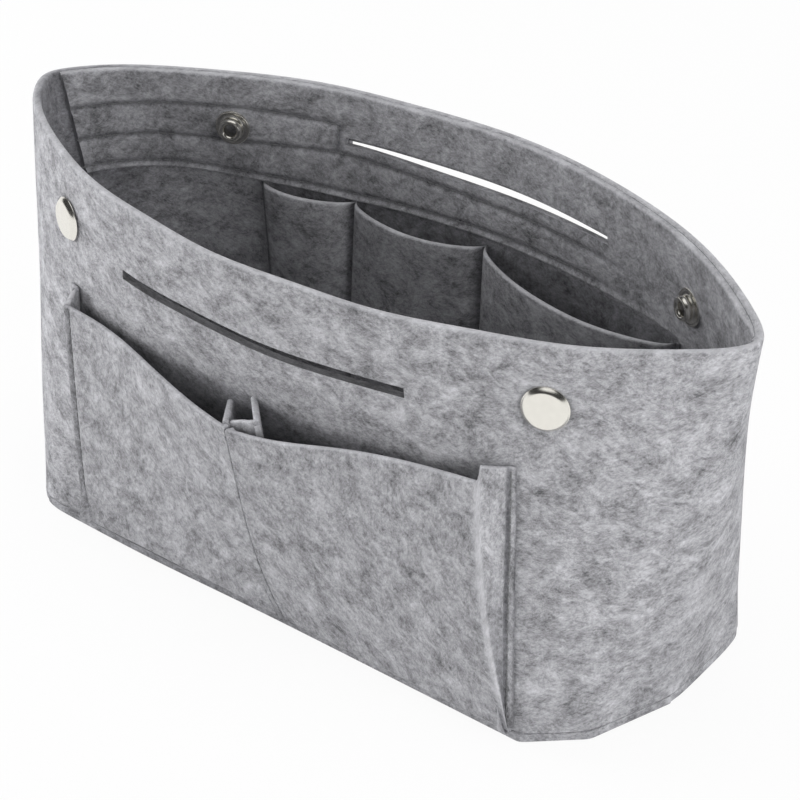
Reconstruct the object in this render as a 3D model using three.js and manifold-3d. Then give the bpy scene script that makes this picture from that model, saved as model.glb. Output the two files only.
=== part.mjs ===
import * as THREE from "three";
import { mergeVertices } from "three/addons/utils/BufferGeometryUtils.js";
import Module from "manifold-3d";

// Felt organizer insert that stands inside a handbag: a flat base, a wall band with a lens-shaped rim,
// an expanding pocket outside, sewn bays and a facing inside, and four snap halves.
// Millimetres, +Z up, the front faces -Y, the origin is on the floor under the middle.

// Wall band and base
const rimLength = 303; // over the two end folds, at the rim
const rimDepth = 128; // front to back over the middle of the rim
const rimHeight = 148; // floor to rim
const rimFullness = 2; // exponents of the lens-shaped rim
const rimEndBluntness = 0.7;
const baseDepth = 98; // front to back over the foot of the walls
const baseFrontEdge = 218; // straight front edge
const baseBackEdge = 236; // straight back edge
const baseCornerLength = 248; // end to end over the cut corners
const baseEndWidth = 66; // between the two cut corners of an end
const baseLength = 257; // end to end along the middle
const cornerShare = 0.74; // share of the half foot round which the felt fans out from the base's corners
const fanMiddle = 1.9; // how fast the fan closes towards the corners, from the middle and from the end
const fanEnd = 14;
const baseLip = 1; // how far the base panel shows outside the walls
const baseSetBack = 5; // middle of the base behind the middle of the rim
const baseSetLeft = 4.5; // and to the left of it
const baseSkew = 0.1; // the soft body stands skewed: its front foot to the left, its back foot to the right
const baseFelt = 3; // felt thicknesses
const wallFelt = 3;
const pocketFelt = 2.2;
const facingFelt = 2.4;
const seat = 0.3; // gap between pieces that touch or are sewn together

// Hand slits through both long walls
const slitTall = 4.8;
const frontSlitLength = 120;
const frontSlitDrop = 28; // rim to the middle of the slit
const backSlitLength = 114;
const backSlitDrop = 20;

// Snap halves
const snapSpread = 200; // between the left and right snaps
const snapShiftFront = 5; // how far right of the middle each pair lies
const snapShiftBack = 1.2;
const snapDrop = 22; // rim to the snap's axis
const capDiameter = 15.5;
const capRise = 3;
const capLip = 0.9;
const postDiameter = 3.4;
const postHole = 0.5; // clearance round the post, on the diameter
const socketDiameter = 13;
const socketRise = 3.4;
const socketFloor = 1;
const studFlange = 13;
const studFlangeThick = 1.1;
const studDiameter = 8;
const studRise = 3.6;
const snapFit = 0.6; // how much wider the socket's mouth is than the stud

// Facing inside the back wall
const facingWidth = 38; // rim to its lower edge

// Pocket outside the front wall
const creaseSpread = 176; // between the two side creases, at the mouth
const creaseHeight = 98; // floor to the mouth at the creases
const creaseReach = 55; // from the middle plane out to the creases
const foldHeight = 95; // floor to the mouth at the middle pleat
const foldReach = 73; // from the middle plane out to the pleat's folds
const flangeSpread = 194; // over the two sewn side flanges, at the mouth
const flangeFoot = 197; // over the two sewn side flanges, at the foot
const flangeFootShift = 0.5; // middle of the foot, to the right of the middle of the mouth
const flangeWidth = 3.5;
const pleatWide = 13; // pleat at the mouth
const pleatNarrow = 5.6; // pleat at its foot
const pleatFoot = 66;
const pleatLine = -1; // where the two leaves meet below the pleat
const pleatLead = 8; // how far the folds lie to the right of that line, at the mouth
const pleatSeam = -5; // where the pleat is sewn to the wall
const pleatStep = 4; // how far the pleat's web lies behind the folds

// Bays inside the back wall, from the left seam to the right seam
const bayTop = 106.5;
const bayFoot = 0.6; // over the base
const baySeams = [-87, -50, 5, 92];
const bayBulges = [7, 11, 16];
const baySlack = 1; // bulge at the foot

const wallFoot = baseFelt + seat;
const pocketFoot = wallFoot;
const snapHeight = rimHeight - snapDrop;
const frontSlitHeight = rimHeight - frontSlitDrop;
const backSlitHeight = rimHeight - backSlitDrop;
const facingFoot = rimHeight - facingWidth;
const front = -1;
const back = 1;

const feltGrey = { color: 0x9c9ca1, roughness: 0.95, metalness: 0 };
const feltShade = { color: 0x85858b, roughness: 0.95, metalness: 0 };
const nickel = { color: 0xd4d2c6, roughness: 0.22, metalness: 1 };

const wasm = await Module();
wasm.setup();
const { lerp, smoothstep } = THREE.MathUtils;

// Half of a flat outline, from its middle to its end, with the run of its edge.
function halfOutline(points) {
  const run = [0];
  for (let i = 1; i < points.length; i += 1) {
    const step = Math.hypot(points[i][0] - points[i - 1][0], points[i][1] - points[i - 1][1]);
    run.push(run[i - 1] + step);
  }
  return { points, run };
}

// The point at a share of an outline's run.
function pointAlong(outline, share) {
  const { points, run } = outline;
  const goal = Math.min(share, 1) * run[run.length - 1];
  let i = 1;
  while (i < run.length - 1 && run[i] < goal) i += 1;
  const part = (goal - run[i - 1]) / (run[i] - run[i - 1]);
  return [lerp(points[i - 1][0], points[i][0], part), lerp(points[i - 1][1], points[i][1], part)];
}

const rimSteps = 72;
const rimOutline = halfOutline(
  Array.from({ length: rimSteps + 1 }, (_, i) => {
    const share = Math.sin((Math.PI / 2) * (i / rimSteps));
    const inset = Math.max(0, 1 - share ** rimFullness);
    return [(rimLength / 2) * share, (rimDepth / 2) * inset ** rimEndBluntness];
  }),
);
const baseHalf = (edge) => [
  [0, baseDepth / 2],
  [edge / 2, baseDepth / 2],
  [baseCornerLength / 2, baseEndWidth / 2],
  [baseLength / 2, 0],
];
const frontFoot = halfOutline(baseHalf(baseFrontEdge));
const backFoot = halfOutline(baseHalf(baseBackEdge));
const footOutline = (side) => (side === front ? frontFoot : backFoot);

// A point of the foot's outline, skewed and set where the base stands.
function basePoint(x, y) {
  return new THREE.Vector2(x + baseSkew * y - baseSetLeft, y + baseSetBack);
}

// The share of the foot's run that stands under a share of the rim's run. Felt bends one way only, so
// much of the rim's rounding runs down in a fan to the base's corners.
function footShare(share) {
  const middle = 1 - (1 - share) ** fanMiddle;
  return cornerShare * middle + (1 - cornerShare) * share ** fanEnd;
}

// Outer face of the wall: share -1 is the left end, 0 the middle and 1 the right end.
function wallFace(side, share, z) {
  const rise = (z - wallFoot) / (rimHeight - wallFoot);
  const hand = share < 0 ? -1 : 1;
  const low = pointAlong(footOutline(side), footShare(Math.abs(share)));
  const high = pointAlong(rimOutline, Math.abs(share));
  const foot = basePoint(hand * low[0], side * low[1]);
  return new THREE.Vector3(lerp(foot.x, hand * high[0], rise), lerp(foot.y, side * high[1], rise), z);
}

// Level normal, so that every layer of the wall is cut off flat, eased round the base's corners.
const footEase = 0.085; // share of the half wall on either side, at the foot and at the rim
const rimEase = 0.03;
function wallNormal(side, share, z) {
  const ease = lerp(footEase, rimEase, (z - wallFoot) / (rimHeight - wallFoot));
  const run = wallFace(side, Math.min(1, share + ease), z);
  run.sub(wallFace(side, Math.max(-1, share - ease), z));
  return new THREE.Vector3(-side * run.y, side * run.x, 0).normalize();
}

// A point at a depth under the wall's outer face; a negative depth lies outside it.
function wallAt(side, share, z, depth) {
  return wallFace(side, share, z).addScaledVector(wallNormal(side, share, z), -depth);
}

function solve(low, high, rising) {
  let [a, b] = [low, high];
  for (let i = 0; i < 44; i += 1) {
    const middle = (a + b) / 2;
    if (rising(middle)) a = middle;
    else b = middle;
  }
  return (a + b) / 2;
}

// The share at which the wall, at that depth, lies at a given x.
function shareAt(side, x, z, depth) {
  return solve(-1, 1, (share) => wallAt(side, share, z, depth).x < x);
}

function wallUnder(side, x, z, depth) {
  return wallAt(side, shareAt(side, x, z, depth), z, depth);
}

// The share at which the wall, at that depth, comes within half a gap of the end seam.
function endShare(side, z, depth) {
  const seam = wallFace(side, 1, z).y;
  return solve(0.6, 1, (share) => side * (wallAt(side, share, z, depth).y - seam) > seat / 2);
}

// A panel's end: it follows the base's corner upwards and swings out round the snap's cap.
const snapClear = Math.max(capDiameter, studFlange, socketDiameter) / 2 + 2 * seat;
const snapShift = (side) => (side === front ? snapShiftFront : snapShiftBack);
function panelEnd(side, z) {
  const { run } = footOutline(side);
  const corner = solve(0, 1, (share) => footShare(share) < run[1] / run[3]);
  const snap = shareAt(side, snapSpread / 2 + snapShift(side) + snapClear, snapHeight, 0);
  const swing = smoothstep(z, wallFoot, snapHeight - snapClear);
  const settle = smoothstep(z, snapHeight + snapClear, rimHeight);
  return lerp(corner, Math.max(corner, snap), swing * (1 - settle));
}

function signedVolume(geometry) {
  const { array } = geometry.attributes.position;
  const index = geometry.index.array;
  let volume = 0;
  const [a, b, c] = [0, 1, 2].map(() => new THREE.Vector3());
  for (let i = 0; i < index.length; i += 3) {
    a.fromArray(array, index[i] * 3);
    b.fromArray(array, index[i + 1] * 3);
    c.fromArray(array, index[i + 2] * 3);
    volume += a.dot(b.cross(c));
  }
  return volume;
}

// Merges shared corners, drops empty triangles and turns all faces outwards.
function tidy(geometry) {
  const bare = new THREE.BufferGeometry();
  bare.setAttribute("position", geometry.attributes.position.clone());
  if (geometry.index) bare.setIndex(geometry.index.clone());
  const merged = mergeVertices(bare, 1e-3);
  const kept = [];
  const { array } = merged.index;
  for (let i = 0; i < array.length; i += 3) {
    const [a, b, c] = [array[i], array[i + 1], array[i + 2]];
    if (a !== b && b !== c && c !== a) kept.push(a, b, c);
  }
  merged.setIndex(kept);
  if (signedVolume(merged) < 0) {
    for (let i = 0; i < kept.length; i += 3) [kept[i], kept[i + 1]] = [kept[i + 1], kept[i]];
    merged.setIndex(kept);
  }
  return merged;
}

function fromLists(positions, triangles) {
  const geometry = new THREE.BufferGeometry();
  geometry.setAttribute("position", new THREE.Float32BufferAttribute(positions, 3));
  geometry.setIndex(triangles);
  return tidy(geometry);
}

const evenly = (count) => Array.from({ length: count + 1 }, (_, i) => i / count);

// A closed sheet between two faces, each a function of u and v from 0 to 1, with its rows at given shares.
function sheet(outer, inner, columns, rowShares) {
  const rows = rowShares.length - 1;
  const positions = [];
  for (const face of [outer, inner])
    for (const v of rowShares) for (const u of evenly(columns)) positions.push(...face(u, v).toArray());
  const wide = columns + 1;
  const under = wide * (rows + 1);
  const triangles = [];
  const quad = (a, b, c, d) => triangles.push(a, b, c, a, c, d);
  for (let j = 0; j < rows; j += 1)
    for (let i = 0; i < columns; i += 1) {
      const k = j * wide + i;
      quad(k, k + 1, k + wide + 1, k + wide);
      quad(under + k, under + k + wide, under + k + wide + 1, under + k + 1);
    }
  for (let i = 0; i < columns; i += 1) {
    const top = rows * wide + i;
    quad(i, under + i, under + i + 1, i + 1);
    quad(top, top + 1, under + top + 1, under + top);
  }
  for (let j = 0; j < rows; j += 1) {
    const left = j * wide;
    const right = left + columns;
    quad(left, left + wide, under + left + wide, under + left);
    quad(right, under + right, under + right + wide, right + wide);
  }
  return fromLists(positions, triangles);
}

// A closed solid through rings of points, each ring flat and with as many points as the others.
function loft(sections) {
  const flat = (ring) => ring.map((point) => new THREE.Vector2(point.x, point.y));
  const clockwise = THREE.ShapeUtils.isClockWise(flat(sections[0]));
  const rings = clockwise ? sections.map((ring) => [...ring].reverse()) : sections;
  const count = rings[0].length;
  const positions = rings.flat().flatMap((point) => point.toArray());
  const triangles = [];
  for (let j = 0; j < rings.length - 1; j += 1)
    for (let i = 0; i < count; i += 1) {
      const [a, b] = [j * count + i, j * count + ((i + 1) % count)];
      triangles.push(a, b, b + count, a, b + count, a + count);
    }
  const last = (rings.length - 1) * count;
  const cap = (ring) => THREE.ShapeUtils.triangulateShape(flat(ring), []);
  for (const [a, b, c] of cap(rings[0])) triangles.push(a, c, b);
  for (const [a, b, c] of cap(rings[rings.length - 1])) triangles.push(last + a, last + b, last + c);
  return fromLists(positions, triangles);
}

function solidOf(geometry) {
  const vertProperties = new Float32Array(geometry.attributes.position.array);
  const triVerts = new Uint32Array(geometry.index.array);
  return new wasm.Manifold(new wasm.Mesh({ numProp: 3, vertProperties, triVerts }));
}

function cut(geometry, tools) {
  let solid = solidOf(geometry);
  for (const tool of tools) solid = solid.subtract(solidOf(tool));
  const { vertProperties, triVerts } = solid.getMesh();
  return fromLists([...vertProperties], [...triVerts]);
}

// The body is drawn about the middle of its rim and set so that its whole depth, from the pocket's folds
// to the back of the rim, lies evenly about the origin.
const part = new THREE.Group();
const body = new THREE.Group();
body.position.y = (foldReach - rimDepth / 2) / 2;
part.add(body);

function addPiece(name, geometry, finish) {
  const mesh = new THREE.Mesh(geometry, new THREE.MeshStandardMaterial(finish));
  mesh.name = name;
  body.add(mesh);
  return mesh;
}

// Base panel, under the walls
const baseCorner = (hand, side) => ([x, y]) =>
  basePoint(hand * (x + baseLip), side * (y && y + baseLip));
const baseShape = new THREE.Shape([
  ...backFoot.points.slice(1).map(baseCorner(1, 1)),
  ...frontFoot.points.slice(1, 3).reverse().map(baseCorner(1, -1)),
  ...frontFoot.points.slice(1).map(baseCorner(-1, -1)),
  ...backFoot.points.slice(1, 3).reverse().map(baseCorner(-1, 1)),
]);
const basePanel = new THREE.ExtrudeGeometry(baseShape, { depth: baseFelt, bevelEnabled: false });
addPiece("base_panel", tidy(basePanel), feltShade);

// A strip of the wall from one height to another, between two ends and two depths.
function wallStrip(side, ends, heights, depths, columns, rows) {
  const face = (depth) => (u, v) => {
    const z = lerp(heights[0], heights[1], v);
    const [low, high] = ends(z, depth);
    return wallAt(side, lerp(low, high, u), z, depth);
  };
  return sheet(face(depths[0]), face(depths[1]), columns, evenly(rows));
}

const panelEnds = (side) => (z) => [-panelEnd(side, z), panelEnd(side, z)];
// A folded end begins a gap past its panel: the share is that of the gap in the run at that height and depth.
const gapStep = 0.012;
const wingEnds = (side, hand) => (z, depth) => {
  const edge = panelEnd(side, z);
  const run = wallAt(side, hand * (edge + gapStep), z, depth).distanceTo(wallAt(side, hand * edge, z, depth));
  const inner = hand * (edge + gapStep * Math.min(1, seat / run));
  const outer = hand * endShare(side, z, depth);
  return hand < 0 ? [outer, inner] : [inner, outer];
};

// Tools that cut the slits and the post holes
const cutReach = 2;
const wallDepth = wallFelt + seat + facingFelt;
function slitTool(side, slitLength, slitHeight) {
  const face = (depth) => (u, v) => {
    const z = slitHeight + (v - 0.5) * slitTall;
    return wallUnder(side, (u - 0.5) * slitLength, z, depth);
  };
  return sheet(face(-cutReach), face(wallDepth + cutReach), 24, evenly(1));
}

// The frame of a snap: its origin on the wall's outer face, its Y axis along the outward normal.
function snapFrame(side, hand) {
  const share = shareAt(side, (hand * snapSpread) / 2 + snapShift(side), snapHeight, 0);
  const origin = wallFace(side, share, snapHeight);
  const outward = wallNormal(side, share, snapHeight);
  const turn = new THREE.Quaternion().setFromUnitVectors(new THREE.Vector3(0, 1, 0), outward);
  return { origin, turn };
}

function holeTool(side, hand) {
  const { origin, turn } = snapFrame(side, hand);
  const radius = (postDiameter + postHole) / 2;
  const tool = new THREE.CylinderGeometry(radius, radius, 2 * (wallDepth + cutReach), 16);
  tool.applyQuaternion(turn).translate(origin.x, origin.y, origin.z);
  return tidy(tool);
}

function openings(side, slitLength, slitHeight) {
  return [slitTool(side, slitLength, slitHeight), holeTool(side, -1), holeTool(side, 1)];
}

// Wall band: two long panels and four folded ends
const wallHeights = [wallFoot, rimHeight];
const wallDepths = [0, wallFelt];
const frontWall = wallStrip(front, panelEnds(front), wallHeights, wallDepths, 36, 8);
addPiece("front_wall", cut(frontWall, openings(front, frontSlitLength, frontSlitHeight)), feltGrey);
const backWall = wallStrip(back, panelEnds(back), wallHeights, wallDepths, 36, 8);
addPiece("back_wall", cut(backWall, openings(back, backSlitLength, backSlitHeight)), feltGrey);
for (const [sideName, side] of [["front", front], ["back", back]])
  for (const [handName, hand] of [["left", -1], ["right", 1]]) {
    const wing = wallStrip(side, wingEnds(side, hand), wallHeights, wallDepths, 14, 8);
    addPiece(`${sideName}_${handName}_end`, wing, feltGrey);
  }

// Facing along the top of the back wall, inside
const facingHeights = [facingFoot, rimHeight];
const facingDepths = [wallFelt + seat, wallDepth];
const facingStrip = wallStrip(back, panelEnds(back), facingHeights, facingDepths, 36, 3);
addPiece("back_facing", cut(facingStrip, openings(back, backSlitLength, backSlitHeight)), feltShade);
for (const [handName, hand] of [["left", -1], ["right", 1]]) {
  const strip = wallStrip(back, wingEnds(back, hand), facingHeights, facingDepths, 12, 3);
  addPiece(`back_facing_${handName}`, strip, feltShade);
}

// Bays inside the back wall, each bulging towards the middle between its two seams
const bayBase = wallFoot + bayFoot;
bayBulges.forEach((bulge, i) => {
  const [left, right] = [baySeams[i] + seat / 2, baySeams[i + 1] - seat / 2];
  const face = (lift) => (u, v) => {
    const z = lerp(bayBase, bayTop, v);
    const arch = Math.sin(Math.PI * u) ** 0.8;
    const point = wallUnder(back, lerp(left, right, u), z, wallFelt);
    point.y -= seat + lift + arch * lerp(baySlack, bulge, v);
    return point;
  };
  addPiece(`inner_bay_${i + 1}`, sheet(face(0), face(pocketFelt), 16, evenly(6)), feltShade);
});

// Outer pocket: its two leaves, ruled from the foot up to the mouth
const footReach = baseDepth / 2 - baseSetBack + seat + pocketFelt;
const mouthShare = (z) => (z - pocketFoot) / (creaseHeight - pocketFoot);
// The outer edge of a sewn side flange, and the crease where the leaf turns back to it.
function flangeEdge(hand, z) {
  return lerp(flangeFootShift + (hand * flangeFoot) / 2, (hand * flangeSpread) / 2, mouthShare(z));
}
function creaseLine(hand, z) {
  const low = flangeFootShift + hand * (flangeFoot / 2 - flangeWidth - seat);
  return lerp(low, (hand * creaseSpread) / 2, mouthShare(z));
}
const pleatMiddle = pleatLine + pleatLead;
function pleatHalf(z) {
  if (z < pleatFoot) return (pleatNarrow / 2) * smoothstep(z, pleatFoot - pleatNarrow, pleatFoot);
  return lerp(pleatNarrow, pleatWide, (z - pleatFoot) / (foldHeight - pleatFoot)) / 2;
}
function pleatCentre(z) {
  return lerp(pleatLine, pleatMiddle, Math.max(0, (z - pleatFoot) / (foldHeight - pleatFoot)));
}
function leafFace(hand, lift) {
  return (u, v) => {
    const z = lerp(pocketFoot, lerp(creaseHeight, foldHeight, u), v);
    const outside = creaseLine(hand, lerp(pocketFoot, creaseHeight, v));
    const inside = pleatCentre(z) + hand * (pleatHalf(z) + seat);
    const reach = lerp(footReach, lerp(creaseReach, foldReach, u), v);
    return new THREE.Vector3(lerp(outside, inside, u), -(reach - lift), z);
  };
}
const foldShare = (z) => (z - pocketFoot) / (foldHeight - pocketFoot);
const leafRows = [
  ...evenly(3).map((share) => share * foldShare(pleatFoot - pleatNarrow)),
  foldShare(pleatFoot - pleatNarrow / 2),
  ...evenly(3).map((share) => lerp(foldShare(pleatFoot), 1, share)),
];
for (const [handName, hand] of [["left", -1], ["right", 1]]) {
  const leaf = sheet(leafFace(hand, 0), leafFace(hand, pocketFelt), 12, leafRows);
  addPiece(`pocket_${handName}`, leaf, feltGrey);
}

// Outer reach of the leaves at a height: their back at the creases, their front at the folds
function creaseBack(z) {
  return lerp(footReach, creaseReach, mouthShare(z)) - pocketFelt;
}
function foldFront(z) {
  return lerp(footReach, foldReach, foldShare(z));
}

// Side gussets: a flange sewn to the wall and a web that runs out to the crease
function gussetRing(hand, z, withWeb) {
  const edge = flangeEdge(hand, z);
  const root = edge - hand * flangeWidth;
  const wall = (x) => -wallUnder(front, x, z, 0).y + seat;
  const ring = [
    [edge, wall(edge)],
    [edge, wall(edge) + pocketFelt],
    [root, wall(root) + pocketFelt],
  ];
  if (withWeb) {
    const crease = creaseLine(hand, z);
    const tip = creaseBack(z) - seat;
    const heel = root - hand * pocketFelt;
    ring.push([crease, tip], [crease - hand * pocketFelt, tip], [heel, wall(heel)]);
  } else {
    for (const share of [0.75, 0.5, 0.25]) ring.push([root, wall(root) + pocketFelt * share]);
  }
  return ring.map(([x, reach]) => new THREE.Vector3(x, -reach, z));
}
function webRoom(hand, z) {
  const root = flangeEdge(hand, z) - hand * flangeWidth;
  return creaseBack(z) + wallUnder(front, root, z, 0).y - 2 * seat - pocketFelt;
}
const webStep = 2;
const webRows = 8;
const flangeRows = 4;
for (const [handName, hand] of [["left", -1], ["right", 1]]) {
  const lowest = solve(wallFoot, creaseHeight - 2 * webStep, (z) => webRoom(hand, z) < seat);
  const rings = [
    ...evenly(flangeRows).map((share) => gussetRing(hand, lerp(wallFoot, lowest, share), false)),
    ...evenly(webRows).map((share) => gussetRing(hand, lerp(lowest + webStep, creaseHeight, share), true)),
  ];
  addPiece(`pocket_gusset_${handName}`, loft(rings), feltGrey);
}

// Middle pleat: two legs that run straight behind the leaves' ends and then lean over to the seam on
// the wall, with a web set back between them
function pleatRing(z) {
  const half = pleatHalf(z);
  const inside = half - pocketFelt;
  const wall = -wallUnder(front, pleatSeam, z, 0).y + seat * 2;
  const out = foldFront(z);
  const bend = out - pocketFelt - seat;
  const web = out - pleatStep;
  const at = (offset, reach) => {
    const share = Math.min(1, (reach - wall) / (bend - wall));
    return new THREE.Vector3(lerp(pleatSeam, pleatCentre(z), share) + offset, -reach, z);
  };
  return [
    at(-half, wall),
    at(-half, bend),
    at(-half, out),
    at(-inside, out),
    at(-inside, bend),
    at(-inside, web),
    at(inside, web),
    at(inside, bend),
    at(inside, out),
    at(half, out),
    at(half, bend),
    at(half, wall),
    at(inside, wall),
    at(inside, web - pocketFelt),
    at(-inside, web - pocketFelt),
    at(-inside, wall),
  ];
}
const pleatRings = Array.from({ length: 5 }, (_, i) => pleatRing(lerp(pleatFoot, foldHeight, i / 4)));
addPiece("pocket_pleat", loft(pleatRings), feltGrey);

// Snap halves, turned about their own axis and seated on the curved felt
function turned(profile) {
  return tidy(new THREE.LatheGeometry(profile.map(([r, y]) => new THREE.Vector2(r, y)), 24));
}

// Lowest and highest level of the felt, along a snap's axis, under a disc of that radius.
function feltLevels(side, hand, radius, depth) {
  const { origin, turn } = snapFrame(side, hand);
  const unturn = turn.clone().invert();
  const levels = [-depth];
  for (let i = 0; i < 16; i += 1) {
    const angle = (i / 16) * 2 * Math.PI;
    const rim = new THREE.Vector3(radius * Math.cos(angle), -depth, radius * Math.sin(angle));
    rim.applyQuaternion(turn).add(origin);
    const felt = wallUnder(side, rim.x, rim.z, depth).sub(origin);
    levels.push(felt.applyQuaternion(unturn).y);
  }
  return [Math.min(...levels), Math.max(...levels)];
}

const postRadius = postDiameter / 2;
const postBore = postRadius + postHole / 2;
const studRadius = studDiameter / 2;

function capProfile(side, hand, postEnd) {
  const radius = capDiameter / 2;
  const under = feltLevels(side, hand, radius, 0)[1] + seat;
  return [
    [0, postEnd],
    [postRadius, postEnd],
    [postRadius, under],
    [radius - capLip, under],
    [radius, under + capLip],
    [radius * 0.92, under + capRise * 0.55],
    [radius * 0.72, under + capRise * 0.82],
    [radius * 0.4, under + capRise * 0.96],
    [0, under + capRise],
  ];
}

function socketProfile(top) {
  const radius = socketDiameter / 2;
  const bore = studRadius + snapFit / 2;
  return [
    [postBore, top],
    [radius, top],
    [radius, top - socketFloor],
    [radius - capLip, top - socketRise],
    [bore, top - socketRise],
    [bore, top - socketFloor],
    [postBore, top - socketFloor],
    [postBore, top],
  ];
}

function studProfile(top) {
  return [
    [postBore, top],
    [studFlange / 2, top],
    [studFlange / 2, top - studFlangeThick],
    [studRadius * 0.9, top - studFlangeThick],
    [studRadius, top - studRise * 0.75],
    [studRadius * 0.86, top - studRise],
    [postBore, top - studRise],
    [postBore, top],
  ];
}

function addSnap(name, side, hand, profile) {
  const { origin, turn } = snapFrame(side, hand);
  const mesh = addPiece(name, turned(profile), nickel);
  mesh.position.copy(origin);
  mesh.quaternion.copy(turn);
}
for (const [handName, hand] of [["left", -1], ["right", 1]]) {
  const socketTop = feltLevels(front, hand, socketDiameter / 2, wallFelt)[0] - seat;
  addSnap(`front_cap_${handName}`, front, hand, capProfile(front, hand, socketTop - socketFloor));
  addSnap(`socket_${handName}`, front, hand, socketProfile(socketTop));
  const studTop = feltLevels(back, hand, studFlange / 2, wallDepth)[0] - seat;
  addSnap(`back_cap_${handName}`, back, hand, capProfile(back, hand, studTop - studFlangeThick));
  addSnap(`stud_${handName}`, back, hand, studProfile(studTop));
}

export default part;
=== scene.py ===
import math

import bpy
import numpy as np
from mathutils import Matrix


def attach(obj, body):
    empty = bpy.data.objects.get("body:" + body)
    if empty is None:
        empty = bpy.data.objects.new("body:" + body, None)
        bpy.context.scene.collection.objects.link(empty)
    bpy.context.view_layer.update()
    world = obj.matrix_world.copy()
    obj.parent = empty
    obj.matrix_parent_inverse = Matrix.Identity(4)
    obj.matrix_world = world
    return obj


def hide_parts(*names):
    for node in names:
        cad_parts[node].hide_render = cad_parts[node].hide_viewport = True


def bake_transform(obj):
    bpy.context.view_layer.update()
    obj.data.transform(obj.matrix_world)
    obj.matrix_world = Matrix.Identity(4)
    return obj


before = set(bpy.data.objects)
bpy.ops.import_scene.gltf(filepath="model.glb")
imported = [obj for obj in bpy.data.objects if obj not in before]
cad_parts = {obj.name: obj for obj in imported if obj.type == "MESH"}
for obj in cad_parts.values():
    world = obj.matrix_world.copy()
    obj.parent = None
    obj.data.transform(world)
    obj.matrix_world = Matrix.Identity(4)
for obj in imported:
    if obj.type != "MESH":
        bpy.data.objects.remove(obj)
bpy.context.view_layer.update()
print("frame loaded:", len(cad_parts), "nodes")

# Shapes are worked out in millimetres about the middle of the rim, +Y to the back, and set back by shiftY.
shiftY = 4.5
metres = 0.001
front, back = -1, 1
left, right = -1, 1
sides = {"front": front, "back": back}
hands = {"left": left, "right": right}
scene = bpy.context.scene


def addObject(name, data):
    made = bpy.data.objects.new(name, data)
    scene.collection.objects.link(made)
    return made


# camera, floor and light

view = {
    "target": (0.0128, 0.0044, 0.0750),
    "azimuth": 39.95,  # degrees round from the front to the right
    "elevation": 31.03,
    "distance": 0.907,
    "focal": 121.3,  # mm, as the sensor
    "sensor": 36,
    "clip": (0.05, 30),
}


def makeCamera():
    turn, lift = math.radians(view["azimuth"]), math.radians(view["elevation"])
    away = np.array([math.sin(turn) * math.cos(lift), -math.cos(turn) * math.cos(lift), math.sin(lift)])
    data = bpy.data.cameras.new("camera")
    data.lens = view["focal"]
    data.sensor_width = view["sensor"]
    data.clip_start, data.clip_end = view["clip"]
    scene.camera = addObject("camera", data)
    scene.camera.location = np.array(view["target"]) + away * view["distance"]
    scene.camera.rotation_euler = (math.pi / 2 - lift, 0, turn)


makeCamera()
scene.view_settings.view_transform = "Standard"
print("camera set")


# A value in a shader. Operators on it add Math nodes to its material.
class Value:
    def __init__(self, shader, socket):
        self.shader = shader
        self.socket = socket

    def join(self, operation, first, second):
        return self.shader.node("ShaderNodeMath", {"operation": operation}, {0: first, 1: second})

    def __add__(self, other):
        return self.join("ADD", self, other)

    def __radd__(self, other):
        return self.join("ADD", other, self)

    def __sub__(self, other):
        return self.join("SUBTRACT", self, other)

    def __mul__(self, other):
        return self.join("MULTIPLY", self, other)


# A material and the one way to put nodes into it: settings come first, then values or links on its sockets.
class Shader:
    def __init__(self, tree):
        self.tree = tree

    def node(self, kind, settings=None, sockets=None, output=0):
        made = self.tree.nodes.new(kind)
        for name, setting in (settings or {}).items():
            if name == "stops":
                while len(made.color_ramp.elements) < len(setting):
                    made.color_ramp.elements.new(0.5)
                for stop, (place, tone) in zip(made.color_ramp.elements, setting):
                    stop.position = place
                    stop.color = (*tone, 1)
            else:
                setattr(made, name, setting)
        for name, given in (sockets or {}).items():
            if isinstance(given, Value):
                self.tree.links.new(given.socket, made.inputs[name])
            else:
                made.inputs[name].default_value = given
        return Value(self, made.outputs[output]) if made.outputs else None

    def surface(self, shown):
        self.node("ShaderNodeOutputMaterial", None, {"Surface": shown})


def newMaterial(name):
    material = bpy.data.materials.new(name)
    material.use_nodes = True
    material.node_tree.nodes.clear()
    return material, Shader(material.node_tree)


def grey(level, warmth=0.0):
    return (level * (1 + warmth), level, level * (1 - warmth))


studio = {
    "floor": 0.86,
    "floorGlow": 0.92,  # share of the floor that the camera sees as plain white
    "floorSize": 4.0,  # half of its width
    "floorDrop": 0.0002,  # how far it lies under the object
    "around": 0.44,  # strength of the even light
    # what metal sees of the room, from straight down at 0 to straight up at 1: white paper, a dark band,
    # a bright top
    "room": ((0.0, 1.0), (0.60, 1.0), (0.65, 0.04), (0.90, 0.04), (0.95, 1.0)),
    "aim": (0, 0, 0.08),
    "lamps": {
        # place, width, height, watts
        "keyRight": ((1.38, -0.30, 0.46), 0.8, 0.6, 11.5),
        "keyFront": ((-0.10, -1.35, 0.34), 1.0, 0.4, 1.8),
        "fillLeft": ((-1.32, -0.40, 0.36), 0.8, 0.6, 16.5),
        "fillBack": ((0.35, 1.35, 0.50), 0.9, 0.6, 3.0),
        "top": ((0.10, 0.0, 1.45), 0.7, 0.5, 5.0),
    },
}


# The rays that look straight at a backdrop, and those that see it in metal or through glass.
def watchedRays(shader):
    rays = shader.node("ShaderNodeLightPath").socket.node.outputs
    direct, glossy, through = (Value(shader, rays[f"Is {kind} Ray"])
                               for kind in ("Camera", "Glossy", "Transmission"))
    return direct, glossy + through


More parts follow.
